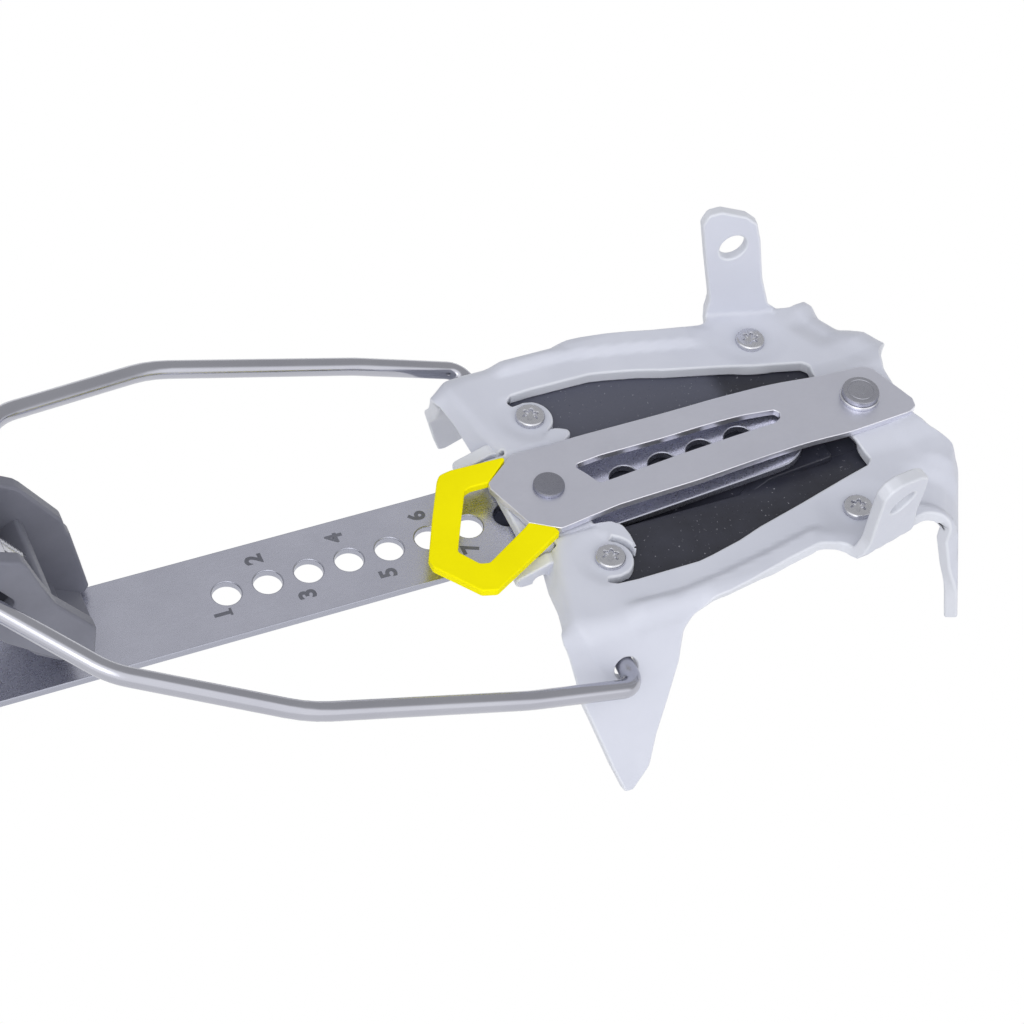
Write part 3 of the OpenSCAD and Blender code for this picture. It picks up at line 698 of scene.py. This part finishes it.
def earMesh():
    corners = [(31.5, 3.0, 0.4), (30.4, -2.1, 0.4)]
    corners += bow(*ear["notch"], -4, 184, 9)
    corners += [(24.4, -2.2, 0.5), (22.8, -2.2, 0.7), (21.6, -1.4, 0.8), (21.4, 0.6, 1.2)]
    corners += [(25.6, 2.2, 2.5), (29, 3.6, 1)]
    return slabMesh(corners, [], upright(ear["y"]), ear["thick"], edge=0.5, step=0.8)


# Pivots of the two bails, and the posts' holes
heelBail = dict(pivot=(36.3, -5.75), tilt=18.93, length=134.4, inner=37.4, hook=47.2, half=48.6, end=15.0)
toeBail = dict(pivot=(-166.0, 15.0), tilt=-18.0, length=43.0, inner=35.0, half=44.5, end=22.0)
postHole = (post["middle"], 22.6)


def addHeelFrame():
    holes = [rounded(heelWindow())] + bores(bothSides(heelScrewAt), boreR["screw"])
    holes += [circle(studAt, 0, boreR["stud"], 28), circle(springRivetAt, 0, boreR["rivet"], 24)]
    bail = toothSpot(*heelBail["pivot"])
    eye = postSpot(*postHole)
    for side in (1, -1):
        holes += [circle(bail[0], side * bail[1], boreR["bail"], 28)]
        holes += [circle(eye[0], side * eye[1], boreR["post"], 32)]
    plate = sheetMesh(rounded(heelOutline()), holes, heelTop, sheetThick, step=1.0, edge=0.55, rings=4)
    tongue = earMesh()
    mesh = joinMeshes([plate, tongue, flipped(tongue)])
    makePiece("heelFrame", mesh, "heel", "coated_steel", ["heel_frame"])


addHeelFrame()
print("heel frame done")


def pick(things):
    bpy.ops.object.select_all(action="DESELECT")
    for thing in things:
        thing.select_set(True)
    bpy.context.view_layer.objects.active = things[0]


def finish(parts, name, body, slot, node, look=None):
    # Parts joined to one piece at the origin
    pick(parts)
    bpy.ops.object.transform_apply(location=True, rotation=True, scale=True)
    if len(parts) > 1:
        bpy.ops.object.join()
    piece = bpy.context.object
    piece.name = name
    piece.data.materials.clear()
    piece.data.materials.append(materials[look or slot])
    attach(piece, body)
    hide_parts(node)


def copied(piece, count):
    copies = [piece.copy() for _ in range(count)]
    for copy in copies:
        copy.data = piece.data.copy()
        link(copy)
    return copies


def turned(name, rings, spots, body, slot, node, look=None, tilt=0.0, count=48, angle=35):
    # A disc drawn up ring by ring, (radius, height) or (radius, height, lobe depth), then copied to its spots
    bpy.ops.object.select_all(action="DESELECT")
    bpy.ops.mesh.primitive_circle_add(vertices=count, radius=rings[0][0] * mm, fill_type="NGON")
    piece = bpy.context.object
    bpy.ops.object.mode_set(mode="EDIT")
    bpy.ops.mesh.select_all(action="SELECT")
    bpy.ops.transform.translate(value=(0, 0, rings[0][1] * mm))
    for before, ring in zip(rings[:-1], rings[1:]):
        rise = (ring[1] - before[1]) * mm
        bpy.ops.mesh.extrude_region_move(TRANSFORM_OT_translate={"value": (0, 0, rise)})
        mesh = bmesh.from_edit_mesh(piece.data)
        lobe = ring[2] if len(ring) > 2 else 0
        for corner in mesh.verts:
            if corner.select:
                w = math.atan2(corner.co.y, corner.co.x)
                r = (ring[0] + lobe * math.cos(lobes * w)) * mm
                corner.co.x, corner.co.y = r * math.cos(w), r * math.sin(w)
        bmesh.update_edit_mesh(piece.data)
    bpy.ops.mesh.select_all(action="SELECT")
    bpy.ops.mesh.normals_make_consistent(inside=False)
    bpy.ops.object.mode_set(mode="OBJECT")
    bpy.ops.object.shade_smooth_by_angle(angle=math.radians(angle))
    copies = [piece] + copied(piece, len(spots) - 1)
    for copy, place in zip(copies, spots):
        copy.location = spot(*place)
        copy.rotation_euler = (0, tilt, 0)
    finish(copies, name, body, slot, node, look)


def filletPath(points, bends):
    # Points of a path in space with an arc at each inner corner
    points = [np.array(p, float) for p in points]
    path = [points[0]]
    for before, p, after, r in zip(points, points[1:], points[2:], bends):
        path += arc(p, before, after, r, 1.0, math.radians(5), 3)
    return path + [points[-1]]


def bentWire(name, path, body, node):
    # A curve with a round section, made a mesh, its two ends broken
    curve = bpy.data.curves.new(name, "CURVE")
    curve.dimensions = "3D"
    curve.bevel_depth = wireR * mm
    curve.bevel_resolution = 8
    curve.use_fill_caps = True
    line = curve.splines.new("POLY")
    line.points.add(len(path) - 1)
    for point, place in zip(line.points, path):
        point.co = (*spot(*place), 1.0)
    pick([link(bpy.data.objects.new(name, curve))])
    bpy.ops.object.convert(target="MESH")
    wire = bpy.context.object
    ends = wire.modifiers.new("ends", "BEVEL")
    ends.limit_method = "ANGLE"
    ends.angle_limit = math.radians(60)
    ends.width = wireEdge * mm
    ends.segments = 3
    bpy.ops.object.modifier_apply(modifier="ends")
    bpy.ops.object.shade_smooth_by_angle(angle=math.radians(40))
    finish([wire], name, body, "bail_wire", node)


bar = dict(width=22.4, front=-188.0, rear=94.0, corner=8.0, bendStart=5.0, bendEnd=55.0, rocker=480.0,
           pitch=9.0, holeR=3.05, holes=14, origin=5)


def barTop(x):
    # Flat, then bent up on one radius, then straight again
    start, end, radius = bar["bendStart"], bar["bendEnd"], bar["rocker"]
    slope = (end - start) / radius
    straight = (end - start) * slope / 2 + (x - end) * slope
    return np.where(x < start, 0.0, np.where(x < end, (x - start) ** 2 / (2 * radius), straight))


def onBar(uv):
    return np.column_stack((uv[:, 0], uv[:, 1], barTop(uv[:, 0])))


def addBar():
    half = bar["width"] / 2
    corners = [(bar["front"], -half, 0.6), (bar["rear"], -half, bar["corner"]),
               (bar["rear"], half, bar["corner"]), (bar["front"], half, 0.6)]
    holes = [circle(bar["pitch"] * (i + 1 - bar["origin"]), 0, bar["holeR"], 48) for i in range(bar["holes"])]
    holes += [circle(x, 0, boreR["rivet"], 24) for x in barRivetAt]
    mesh = sheetMesh(rounded(corners), holes, onBar, barShown, step=2.4, edge=0.35, rings=4)
    makePiece("linkingBar", mesh, "toe", "bar_steel", ["linking_bar"])


# Stamped numbers, their tops towards the toe, drawn as flat dark marks: the shade in the stamped recesses is
# painted on. The first one stands on a foot.
digit = dict(size=5.0, offset=0.19, lift=0.012, footLift=0.011, footShift=0.1,
             foot=[(-0.95, -2.0), (0.95, -2.0), (0.95, -1.45), (-0.95, -1.45)],
             places=[(-38.5, -4.9), (-27.8, 6.6), (-20.5, -5.8), (-9.9, 6.5), (-2.7, -6.1), (8.7, 6.4),
                     (16.0, -5.6)])


def addDigits():
    verts, faces = [], []
    for i, (x, y) in enumerate(digit["places"]):
        curve = bpy.data.curves.new("digit", "FONT")
        curve.body = str(i + 1)
        curve.size = digit["size"]
        curve.offset = digit["offset"]
        curve.resolution_u = 6
        holder = link(bpy.data.objects.new("digit", curve))
        bpy.context.view_layer.update()
        mesh = holder.to_mesh()
        flat = np.array([v.co[:2] for v in mesh.vertices])
        flat = flat - (flat.min(axis=0) + flat.max(axis=0)) / 2
        if i == 0:
            faces.append(tuple(range(len(digit["foot"]))))
            for a, b in digit["foot"]:
                verts.append((x - b, y + a + digit["footShift"], float(barTop(x - b)) + digit["footLift"]))
        faces += [tuple(k + len(verts) for k in p.vertices) for p in mesh.polygons]
        verts += [(x - b, y + a, float(barTop(x - b)) + digit["lift"]) for a, b in flat]
        holder.to_mesh_clear()
        bpy.data.objects.remove(holder)
        bpy.data.curves.remove(curve)
    normals = np.tile((0.0, 0.0, 1.0), (len(verts), 1))
    makePiece("barNumbers", (verts, faces, normals, None), "toe", "bar_steel", look="paintedStampShade")


addBar()
addDigits()
print("bar done")


springX = [22, 29, 36, 40, 47, 57, 67, 80, 92, 98, 103, 107, 125]
springZ = [6.1, 6.1, 6.1, 6.15, 6.7, 7.2, 7.7, 8.6, 8.9, 8.5, 7.95, 7.9, 7.9]
springThick = 1.7
springSoft = 3


def springTop(uv):
    return np.column_stack((uv, eased(uv[:, 0], springX, springZ, springSoft)))


def addSpring():
    outline = [(24.3, 5.2, 0.5), (31.6, 10.7, 0.6), (33, 11.1, 1), (46.8, 10.8, 10), (66.6, 10, 10),
               (90, 9.2, 10), (103, 8.7, 5), (115, 8.1, 1.5), (117.2, 6.8, 1.5), (121.5, -4.2, 1.2),
               (121.1, -6.4, 1), (119, -7.6, 2), (103, -8.7, 10), (80, -9.6, 10), (66.6, -10, 10),
               (48, -10, 4), (41, -10.6, 3), (34, -11.5, 0.6), (32.4, -10.6, 0.6), (28, -7.8, 0.3),
               (26.6, -3.6, 0.3), (24.0, 3.6, 0.4)]
    slot = [(43.2, 3.6, 0.8), (50, 4, 8), (64, 3.5, 8), (73, 3.4, 8), (83, 2.9, 6), (90.2, 1.9, 0.8),
            (91, 0.8, 0.4), (90.4, -0.6, 0.5), (88.6, -1.5, 2), (80, -1.7, 6), (65.6, -2, 6),
            (50, -2.9, 6), (46.6, -3, 0.8), (44.8, 0.8, 2)]
    holes = [rounded(slot), circle(studAt, 0, studNeckR, 32), circle(springRivetAt, 0, boreR["rivet"], 24)]
    mesh = sheetMesh(rounded(outline), holes, springTop, springThick, step=1.1, edge=0.22, rings=2)
    spring = makePiece("lockSpring", mesh, None, "spring_steel", ["lock_spring_root", "lock_spring_blade"])
    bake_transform(spring)


grip = dict(top=6.3, thick=2.0)


def addGrip():
    outer = [(31.0, 10.8, 0.5), (18, 11.1, 2), (15.2, 10.6, 2), (14.0, 9.0, 2), (9, -0.6, 6),
             (4.4, -10.0, 1.5), (4.5, -12.4, 1.5), (11.6, -21.6, 1.2), (14.8, -22.5, 1.2),
             (33.2, -12.3, 0.5), (32.6, -10.7, 0.5), (28, -7.8, 0.5), (26.6, -8.8, 1), (16, -15.1, 1),
             (14, -14.6, 1), (10.9, -10.2, 1), (14.8, -2.6, 6), (18.6, 4.6, 1), (20.2, 5.2, 0.8),
             (24.3, 5.2, 0.6)]
    mesh = sheetMesh(rounded(outer), [], flatFace(grip["top"]), grip["thick"], step=1.0, edge=0.38)
    makePiece("fingerRing", mesh, "lock", "grip_coat", ["lock_grip"])


def addStudAndRivet():
    stud = [(1.0, -0.3), (2.5, 1.1), (studNeckR, 1.3), (studNeckR, 6.1), (3.3, 6.1), (3.42, 6.22),
            (3.42, 6.7), (3.3, 6.98), (3.08, 7.1)]
    turned("lockStud", stud, [(studAt, 0, 0)], "lock", "screw_steel", "lock_stud", "stud_steel")
    rivet = [(3.3, 0.6), (3.65, 0.8), (3.7, 1.0), (3.7, 1.8), (2.5, 1.8), (2.5, 8.8), (3.95, 8.8),
             (4.1, 8.95), (4.1, 9.75), (4.0, 9.98), (3.8, 10.1), (3.05, 10.1), (2.95, 10.03),
             (2.8, 10.03), (2.7, 10.1), (1.5, 10.1), (1.4, 10.04), (1.25, 10.04), (1.15, 10.1)]
    turned("lockRivet", rivet, [(springRivetAt, 0, 0)], "heel", "rivet_steel", "lock_rivet")
    washer = [(2.6, 7.92), (4.3, 7.92), (4.42, 8.04), (4.42, 8.6), (4.25, 8.78), (2.6, 8.78)]
    turned("rivetWasher", washer, [(springRivetAt, 0, 0)], "heel", "rivet_steel", "lock_rivet_washer",
           "screw_steel")


screwHead = dict(r=3.25, height=1.25, drive=1.5, lobe=0.36, depth=0.75, shankR=1.7, heelSeat=4.02,
                 toeSeat=1.62)


def screwRings(foot, seatZ):
    # Shank, button head and a six-lobed drive
    r, drive, lobe, shankR = (screwHead[key] for key in ("r", "drive", "lobe", "shankR"))
    top = seatZ + screwHead["height"]
    low = top - screwHead["depth"]
    return [(1.3, foot), (shankR, foot + 0.4), (shankR, seatZ - 0.01), (r - 0.05, seatZ), (r, seatZ + 0.1),
            (r, top - 0.55), (r - 0.06, top - 0.35), (r - 0.22, top - 0.12), (r - 0.45, top - 0.02),
            (r - 0.7, top), (drive + 0.1, top, lobe), (drive, top - 0.1, lobe),
            (drive - 0.1, low, lobe - 0.04), (0.7, low - 0.25, 0.1)]


nutSize = dict(r=3.46, height=2.4, boreR=1.8, chamferLow=5.2, chamferHigh=2.2, chamfer=3.0)


def addNuts(name, spots, body, node):
    # A hexagon, faced and turned at its corners, with a bore
    high = nutSize["height"] * mm
    cone = nutSize["chamfer"] * mm
    bpy.ops.object.select_all(action="DESELECT")
    bpy.ops.mesh.primitive_cylinder_add(vertices=6, radius=nutSize["r"] * mm, depth=high)
    nut = bpy.context.object
    bpy.ops.mesh.primitive_cylinder_add(vertices=28, radius=nutSize["boreR"] * mm, depth=2.5 * high)
    bore = bpy.context.object
    low, top = nutSize["chamferLow"] * mm, nutSize["chamferHigh"] * mm
    bpy.ops.mesh.primitive_cone_add(vertices=48, radius1=low, radius2=top, depth=cone,
                                    location=(0, 0, cone / 4))
    crown = bpy.context.object
    for kind, tool in (("DIFFERENCE", bore), ("INTERSECT", crown)):
        cut = nut.modifiers.new("cut", "BOOLEAN")
        cut.operation = kind
        cut.object = tool
        bpy.context.view_layer.objects.active = nut
        bpy.ops.object.modifier_apply(modifier="cut")
        bpy.data.objects.remove(tool)
    nut.select_set(True)
    bpy.ops.object.shade_smooth_by_angle(angle=math.radians(25))
    copies = copied(nut, len(spots))
    for copy, place in zip(copies, spots):
        copy.location = spot(place[0], place[1], place[2] + nutSize["height"] / 2)
    bpy.data.objects.remove(nut)
    finish(copies, name, body, "screw_steel", node)


def addFasteners():
    kinds = (("heel", bothSides(heelScrewAt), -3.0, screwHead["heelSeat"], -2.4),
             ("toe", bothSides(toeScrewAt), -4.8, screwHead["toeSeat"], -4.2))
    for body, places, foot, seatZ, nutZ in kinds:
        spots = [(*p, 0) for p in places]
        turned(body + "Screws", screwRings(foot, seatZ), spots, body, "screw_steel", body + "_plate_screws")
    for body, places, foot, seatZ, nutZ in kinds:
        addNuts(body + "Nuts", [(*p, nutZ) for p in places], body, body + "_plate_nuts")
    rings = [(3.3, -3.1), (3.65, -2.9), (3.7, -2.7), (3.7, -1.9), (2.5, -1.9), (2.5, 3.0), (3.95, 3.0),
             (4.1, 3.15), (4.1, 4.2), (3.95, 4.5), (3.7, 4.6), (2.6, 4.6), (2.4, 4.5)]
    turned("barRivets", rings, [(x, 0, 0) for x in barRivetAt], "toe", "rivet_steel", "bar_rivets")


addSpring()
addGrip()
addStudAndRivet()
addFasteners()
print("lock and fasteners done")


def inBail(which, points):
    t = math.radians(which["tilt"])
    x, z = which["pivot"]
    return [(x + a * math.cos(t), b, z - a * math.sin(t)) for a, b in points]


def addBail(which, side, bends, name, body, node):
    # One half of the bail, given as (along, across), and its mirror image
    points = inBail(which, side + [(a, -b) for a, b in reversed(side)])
    bentWire(name, filletPath(points, bends + bends[::-1]), body, node)


def addBails():
    half, length = heelBail["half"], heelBail["length"]
    side = [(0, heelBail["inner"]), (0, heelBail["hook"]), (-27, half), (-77, half - 1), (-114.3, 34.8),
            (-length, heelBail["end"])]
    addBail(heelBail, side, [4, 60, 30, 16, 4], "heelBail", "heel_wire", "heel_bail")
    half, length = toeBail["half"], toeBail["length"]
    side = [(0, toeBail["inner"]), (0, half), (-22, half - 3), (-length, toeBail["end"])]
    addBail(toeBail, side, [4, 30, 12], "toeBail", "toe_wire", "toe_bail")


addBails()
print("bails done")


lever = dict(side=12.5, wall=3.4, claw=(46.4, 1.2), gap=0.35, slot=2.4, travel=8.6, screwUp=4.4,
             saddleGap=0.35)
hubX = heelBail["pivot"][0] - heelBail["length"] * math.cos(math.radians(heelBail["tilt"]))
hubZ = heelBail["pivot"][1] + heelBail["length"] * math.sin(math.radians(heelBail["tilt"]))
leverTurn = math.asin((hubZ - lever["gap"]) / math.hypot(*lever["claw"]))
leverTurn += math.atan2(lever["claw"][1], lever["claw"][0])
# The adjusting screw: its ends, first thread and pitch, the same as half a turn's two rings
thread = dict(low=-28.2, first=-27.6, pitch=1.0, rings=92, crest=1.5, root=1.28, high=19.2)


def onLever(a, y, c):
    # Lever axes: a runs from the end wire to the claw, c to the open side
    x = hubX + a * math.cos(leverTurn) + c * math.sin(leverTurn)
    z = hubZ - a * math.sin(leverTurn) + c * math.cos(leverTurn)
    return np.column_stack((x, np.broadcast_to(y, np.shape(x)), z))


def leverSlab(corners, y0, y1, edge, holes=()):
    return slabMesh(corners, list(holes), lambda a, c: onLever(a, y1, c), y1 - y0, edge, step=3.0)


def addLever():
    groove = lever["side"] - lever["wall"]
    back = lever["slot"] + lever["travel"]
    slotR = lever["slot"] - 0.2
    slot = [(-lever["slot"], -lever["slot"], slotR), (back, -lever["slot"], slotR),
            (back, lever["slot"], slotR), (-lever["slot"], lever["slot"], slotR)]
    far = [(-34, -6.5, 2), (30, -6.5, 6), (40, -3.4, 6), (46.4, 1.2, 0.8), (45.4, 3.3, 0.8),
           (37.7, 6.7, 4), (29.2, 10.4, 1.5), (27.9, 10.5, 1), (24.1, 12.1, 2), (10.2, 12.4, 2),
           (8.4, 12.2, 2), (-4, 7.4, 4), (-30, 4, 3), (-34, 0, 2)]
    near = [(-34, -6.5, 2), (18, -6.5, 8), (30, -3.6, 6), (38.6, -1.2, 1.5), (38.3, 1, 1), (37.5, 1.9, 1),
            (31, 7.1, 2), (18, 6.6, 3), (11.1, 8.1, 2), (3.9, 10, 2), (2, 10, 2), (-4, 6.4, 3),
            (-30, 4, 3), (-34, 0, 2)]
    floor = [(-34, -6.5, 1), (30, -6.5, 4), (36, -4.6, 3), (38.6, -2, 1), (38, -0.6, 0.8), (30, -3.4, 3),
             (-31, -3.4, 1), (-31, 0, 0.5), (-34, 0, 1)]
    horn = [(36, -6.6, 0.5), (40, -5.4, 2), (46.4, -0.8, 0.7), (45.4, 1.3, 0.7), (36, -3.2, 1)]
    parts = [leverSlab(far, groove, lever["side"], 0.7, [rounded(slot)]),
             leverSlab(near, -lever["side"], -groove, 0.7, [rounded(slot)]),
             leverSlab(floor, -groove - 0.5, groove + 0.5, 0.3),
             leverSlab(horn, 0, groove + 2.5, 0.5)]
    for a, high in ((15, 6.8), (-27, 6.4)):
        rib = [(a, -4, 0.3), (a + 3, -4, 0.3), (a + 3, high, 0.8), (a, high, 0.8)]
        parts.append(leverSlab(rib, -groove - 0.5, groove + 0.5, 0.3))
    makePiece("heelLever", joinMeshes(parts), "lever", "lever_plastic", ["heel_lever"])
    block = [(-5.6, -3, 1), (4.6, -3, 1), (4.6, 6, 1), (3.6, 7.2, 1), (-4.6, 7.2, 1), (-5.6, 6, 1)]
    width = groove - lever["saddleGap"]
    mesh = leverSlab(block, -width, width, 0.4, [circle(0, 0, wireR + 0.05, 28)])
    makePiece("leverSaddle", mesh, "saddle", "bail_wire", ["lever_saddle"])
    foot = onLever(np.array([0.0]), 0.0, np.array([lever["screwUp"]]))[0]
    tilt = math.pi / 2 + leverTurn
    rings = [(1.0, thread["low"]), (1.4, thread["low"] + 0.4)]
    for k in range(thread["rings"]):
        r = thread["crest"] if k % 2 else thread["root"]
        rings.append((r, thread["first"] + k * thread["pitch"] / 2))
    rings += [(1.4, thread["high"] - 0.5), (0.9, thread["high"])]
    turned("leverScrew", rings, [foot], "adjuster", "screw_steel", "lever_adjuster", tilt=tilt, count=24,
           angle=60)
    rings = [(1.55, -20.6), (4.9, -20.6, 0.1), (5.25, -20.2, 0.12), (5.25, -17.0, 0.12),
             (4.9, -16.6, 0.1), (1.55, -16.6)]
    turned("leverWheel", rings, [foot], "adjuster", "lever_plastic", "lever_thumbwheel", tilt=tilt, count=72)


addLever()
print("lever done")


# Upper faces of the plates' side panels, how far the heel channel's front end drops, and where the far
# panel's painted sheen ends
snow = dict(heelTop=1.76, toeTop=-0.04, bridgeTop=1.7, bridgeThick=1.7, floorEdge=1.7,
            drop=0.7, dropAt=(38, 24), paintedSheenUntil=(87, 83))


def snowParts(panel, level, screws, wall, floor, floorTop, holes=()):
    # Two side panels, the two walls of the channel and its floor
    bored = bores(screws, boreR["plateScrew"])
    panel = sheetMesh(rounded(panel, 2), bored, flatFace(level), snowThick, step=2.0, edge=0.35)
    wall = slabMesh(wall, [], upright(channelHalf + snowThick), snowThick, edge=0.3, step=3)
    floor = sheetMesh(rounded(mirrored(floor)), holes, floorTop, snowThick, step=3, edge=0.3, rings=2)
    return [panel, flipped(panel), wall, flipped(wall), floor]


def channel(uv):
    # Its front end drops away, clear of the bar when that slides
    x = uv[:, 0]
    z = barTop(x) - barThick - channelGap - snow["drop"] * step(x, *snow["dropAt"])
    return np.column_stack((uv, z))


def addHeelSnowPlate():
    half, edge = channelHalf, channelHalf + snow["floorEdge"]
    panel = [(34, half), (34, 26), (38, 33.2), (60, 32.8), (72, 30.2), (84, 28.4), (104, 28.8), (108, 26),
             (108, 9), (80, 9), (76, half)]
    wall = [(34, 1.7, 0.5), (34, 0.4, 0.5), (24.4, 0.4, 0.5), (24.4, -1.9, 0.5), (34, -1.9, 0.5),
            (35, -4.7, 0.5), (95, 1.2, 0.5), (95, 1.7, 0.5)]
    floor = [(24, 0), (24, 9, 1), (33, 9, 1), (34, edge, 1), (75, edge, 3), (84, 10.8, 3), (99, 10.6, 1),
             (99, 0)]
    parts = snowParts(panel, snow["heelTop"], heelScrewAt, wall, floor, channel)
    bridge = mirrored([(98.5, 0), (98.5, 9.3, 0.5), (107.8, 9.3, 0.5), (107.8, 0)])
    parts.append(sheetMesh(rounded(bridge), [], flatFace(snow["bridgeTop"]), snow["bridgeThick"], 3, 0.3, 2))
    v, f, n, r = joinMeshes(parts)
    # The far panel is painted lighter up to the post: a painted sheen, a painted reflection
    paintedSheen = step(v[:, 0], *snow["paintedSheenUntil"]) * (v[:, 1] > 0)
    makePiece("heelSnowPlate", (v, f, n, paintedSheen), "heel", "snow_plastic", ["heel_snow_plate"])


def addToeSnowPlate():
    low = -barThick - channelGap
    front, back = -184, -120
    half, edge = channelHalf, channelHalf + snow["floorEdge"]
    panel = [(front, half), (-182, 28), (-172, 31), (-160, 36), (-124, 36), (back, 20), (back, half)]
    wall = [(front, -0.1, 0.4), (front, low - 1.7, 0.4), (back, low - 1.7, 0.4), (back, -0.1, 0.4)]
    floor = [(front, 0), (front, edge, 1), (back, edge, 1), (back, 0)]
    holes = [circle(x, 0, 4.3, 28) for x in barRivetAt]
    v, f, n, r = joinMeshes(snowParts(panel, snow["toeTop"], toeScrewAt, wall, floor, flatFace(low), holes))
    makePiece("toeSnowPlate", (v, f, n, None), "toe", "snow_plastic", ["toe_snow_plate"])


toe = dict(top=3.0, start=41.31, bend=5.0, lean=12.0, frontR=4.0, frontLine=-190.8, frontTurn=24,
           secondLine=-184.1, secondTurn=62, apart=23.4, earOut=40.5, seatDepth=1.4, seatSlope=(6.4, 3.8))


def toeSpotAt(x, z, r):
    return (x, toe["start"] + foldRun(z, toe["lean"], toe["bend"], toe["top"]), r)


def toeTop(uv):
    u, v = uv[:, 0], uv[:, 1]
    s = np.abs(v)
    side = np.where(v < 0, -1.0, 1.0)
    first = s < toe["apart"]
    line = np.where(first, toe["frontLine"], toe["secondLine"])
    most = np.radians(np.where(first, toe["frontTurn"], toe["secondTurn"]))
    reach, drop = folded(np.maximum(line - u, 0), toe["frontR"], most)[1:]
    x = u - reach
    z = toe["top"] - drop
    reach, drop = folded(np.maximum(s - toe["start"], 0), toe["bend"], math.radians(90 - toe["lean"]))[1:]
    y = s + reach
    z = z - drop
    for a, b in toeScrewAt:
        z = z - toe["seatDepth"] * step(np.hypot(u - a, s - b), *toe["seatSlope"])
    return np.column_stack((x, side * y, z))


def addToeFrame():
    half = [(-188.6, 0), (-188.6, 9.6, 2), (-190.6, 12.2, 2), (-200, 12.6, 8), (-219, 14.4, 10),
            (-226.1, 16.0, 0.5), (-225.2, 17.6, 1), (-219, 19.4, 6), (-200, 21.5, 6), (-191, 21.9, 1.5),
            (-188, 22.4, 0.5), (-187.6, 23.4, 0.5), (-188, 24.4, 0.5), (-194.5, 25.2, 3),
            (-220.5, 27, 10), (-227.6, 28.1, 0.6), (-227.6, 30.7, 0.6), (-220.5, 31.2, 8),
            (-194.5, 33, 8), (-186, 34.2, 3), (-179, 35.4, 4), (-171, 38.6, 4), (-163, 40.2, 2)]
    teeth = [(-160.2, 2.2, 1.5), (-158, -6, 6), (-156, -22, 20), (-153.6, -34.3, 0.7),
             (-150.9, -34.3, 0.7), (-148.6, -24, 10), (-145.4, -13, 5), (-142, -9.6, 3), (-138.6, -13, 5),
             (-135, -24, 10), (-131.2, -34.3, 0.7), (-128.4, -34.3, 0.7), (-126, -22, 20),
             (-122.4, -4, 8), (-120.4, 2.0, 2)]
    half += [toeSpotAt(*p) for p in teeth] + [(-119, 38.6, 3), (-118.2, 30, 8), (-118, 16, 8), (-118, 0)]
    window = [(-140, 15.4, 1), (-140, 28, 2), (-143, 31.6, 2), (-150, 33, 3), (-163, 31, 2),
              (-166, 26, 2), (-166, 15.4, 1), (-164, 13.4, 1), (-142, 13.4, 1)]
    holes = [rounded(window), rounded([(x, -y, r) for x, y, r in window])]
    holes += bores(bothSides(toeScrewAt), boreR["screw"])
    holes += bores([(x, 0) for x in barRivetAt], boreR["toeRivet"], 24)
    plate = sheetMesh(rounded(mirrored(half)), holes, toeTop, sheetThick, step=1.6, edge=0.55)
    x, z = toeBail["pivot"]
    corners = [(x - 7.5, 0.6, 0.5), (x + 7.5, 0.6, 0.5), (x + 5.4, 7, 5)] + bow(x, z, 5.5, -8, 188, 24)
    corners += [(x - 5.4, 7, 5)]
    hole = circle(x, z, boreR["toeBail"], 28)
    tab = slabMesh(corners, [hole], upright(toe["earOut"]), sheetThick, edge=0.55, step=1.5)
    makePiece("toeFrame", joinMeshes([plate, tab, flipped(tab)]), "toe", "coated_steel", ["toe_frame"])


addHeelSnowPlate()
addToeSnowPlate()
addToeFrame()
print("snow plates and toe frame done")


studio = dict(front=(-0.4, -0.916, 0.0), edge=(-0.05, 0.3), dark=0.66, bright=1.62, card=0.85,
              floorHalf=40.0, floorZ=-0.001)
keyLamp = dict(place=(-0.5, -0.9, 1.0), target=(0.05, 0, 0.03), size=0.8, power=2.6)


def addWorld():
    # Bright towards the front, darker behind the object
    world = bpy.data.worlds.new("studio")
    bpy.context.scene.world = world
    n = Nodes(world)
    n.tree.nodes.clear()
    place = n.add("ShaderNodeTexCoord").outputs["Generated"]
    toward = n.maths("DOT_PRODUCT", place, studio["front"], node="ShaderNodeVectorMath")
    grade = n.ramp(toward, *studio["edge"], studio["dark"], studio["bright"], "SMOOTHSTEP")
    soft = n.add("ShaderNodeBackground", Strength=grade)
    n.add("ShaderNodeOutputWorld", Surface=soft.outputs["Background"])


def addFloor():
    # White where it is seen, a pale card to the light that falls on it
    floor = bpy.data.meshes.new("floor")
    half = studio["floorHalf"]
    corners = [(-half, -half, 0), (half, -half, 0), (half, half, 0), (-half, half, 0)]
    floor.from_pydata(corners, [], [(0, 1, 2, 3)])
    n = Nodes(bpy.data.materials.new("floor"))
    path = n.add("ShaderNodeLightPath").outputs
    seen = n.maths("MAXIMUM", path["Is Camera Ray"], path["Is Glossy Ray"])
    seen = n.maths("MAXIMUM", seen, path["Is Transmission Ray"])
    glow = n.add("ShaderNodeEmission", Strength=1.0)
    card = n.add("ShaderNodeBsdfDiffuse", Color=(*[studio["card"]] * 3, 1.0))
    mix = n.add("ShaderNodeMixShader", Fac=seen)
    n.feed(mix.inputs[1], card.outputs["BSDF"])
    n.feed(mix.inputs[2], glow.outputs["Emission"])
    n.feed(n.tree.nodes["Material Output"].inputs["Surface"], mix.outputs["Shader"])
    floor.materials.append(n.owner)
    ground = link(bpy.data.objects.new("floor", floor))
    ground.location = (0, 0, studio["floorZ"])


def addKeyLamp():
    data = bpy.data.lights.new("key", "AREA")
    data.size = keyLamp["size"]
    data.energy = keyLamp["power"]
    light = link(bpy.data.objects.new("key", data))
    light.location = keyLamp["place"]
    toward = Vector(keyLamp["target"]) - Vector(keyLamp["place"])
    light.rotation_euler = toward.to_track_quat("-Z", "Y").to_euler()


addWorld()
addFloor()
addKeyLamp()
print("studio done")

scene = bpy.context.scene
scene.view_settings.view_transform = "Standard"
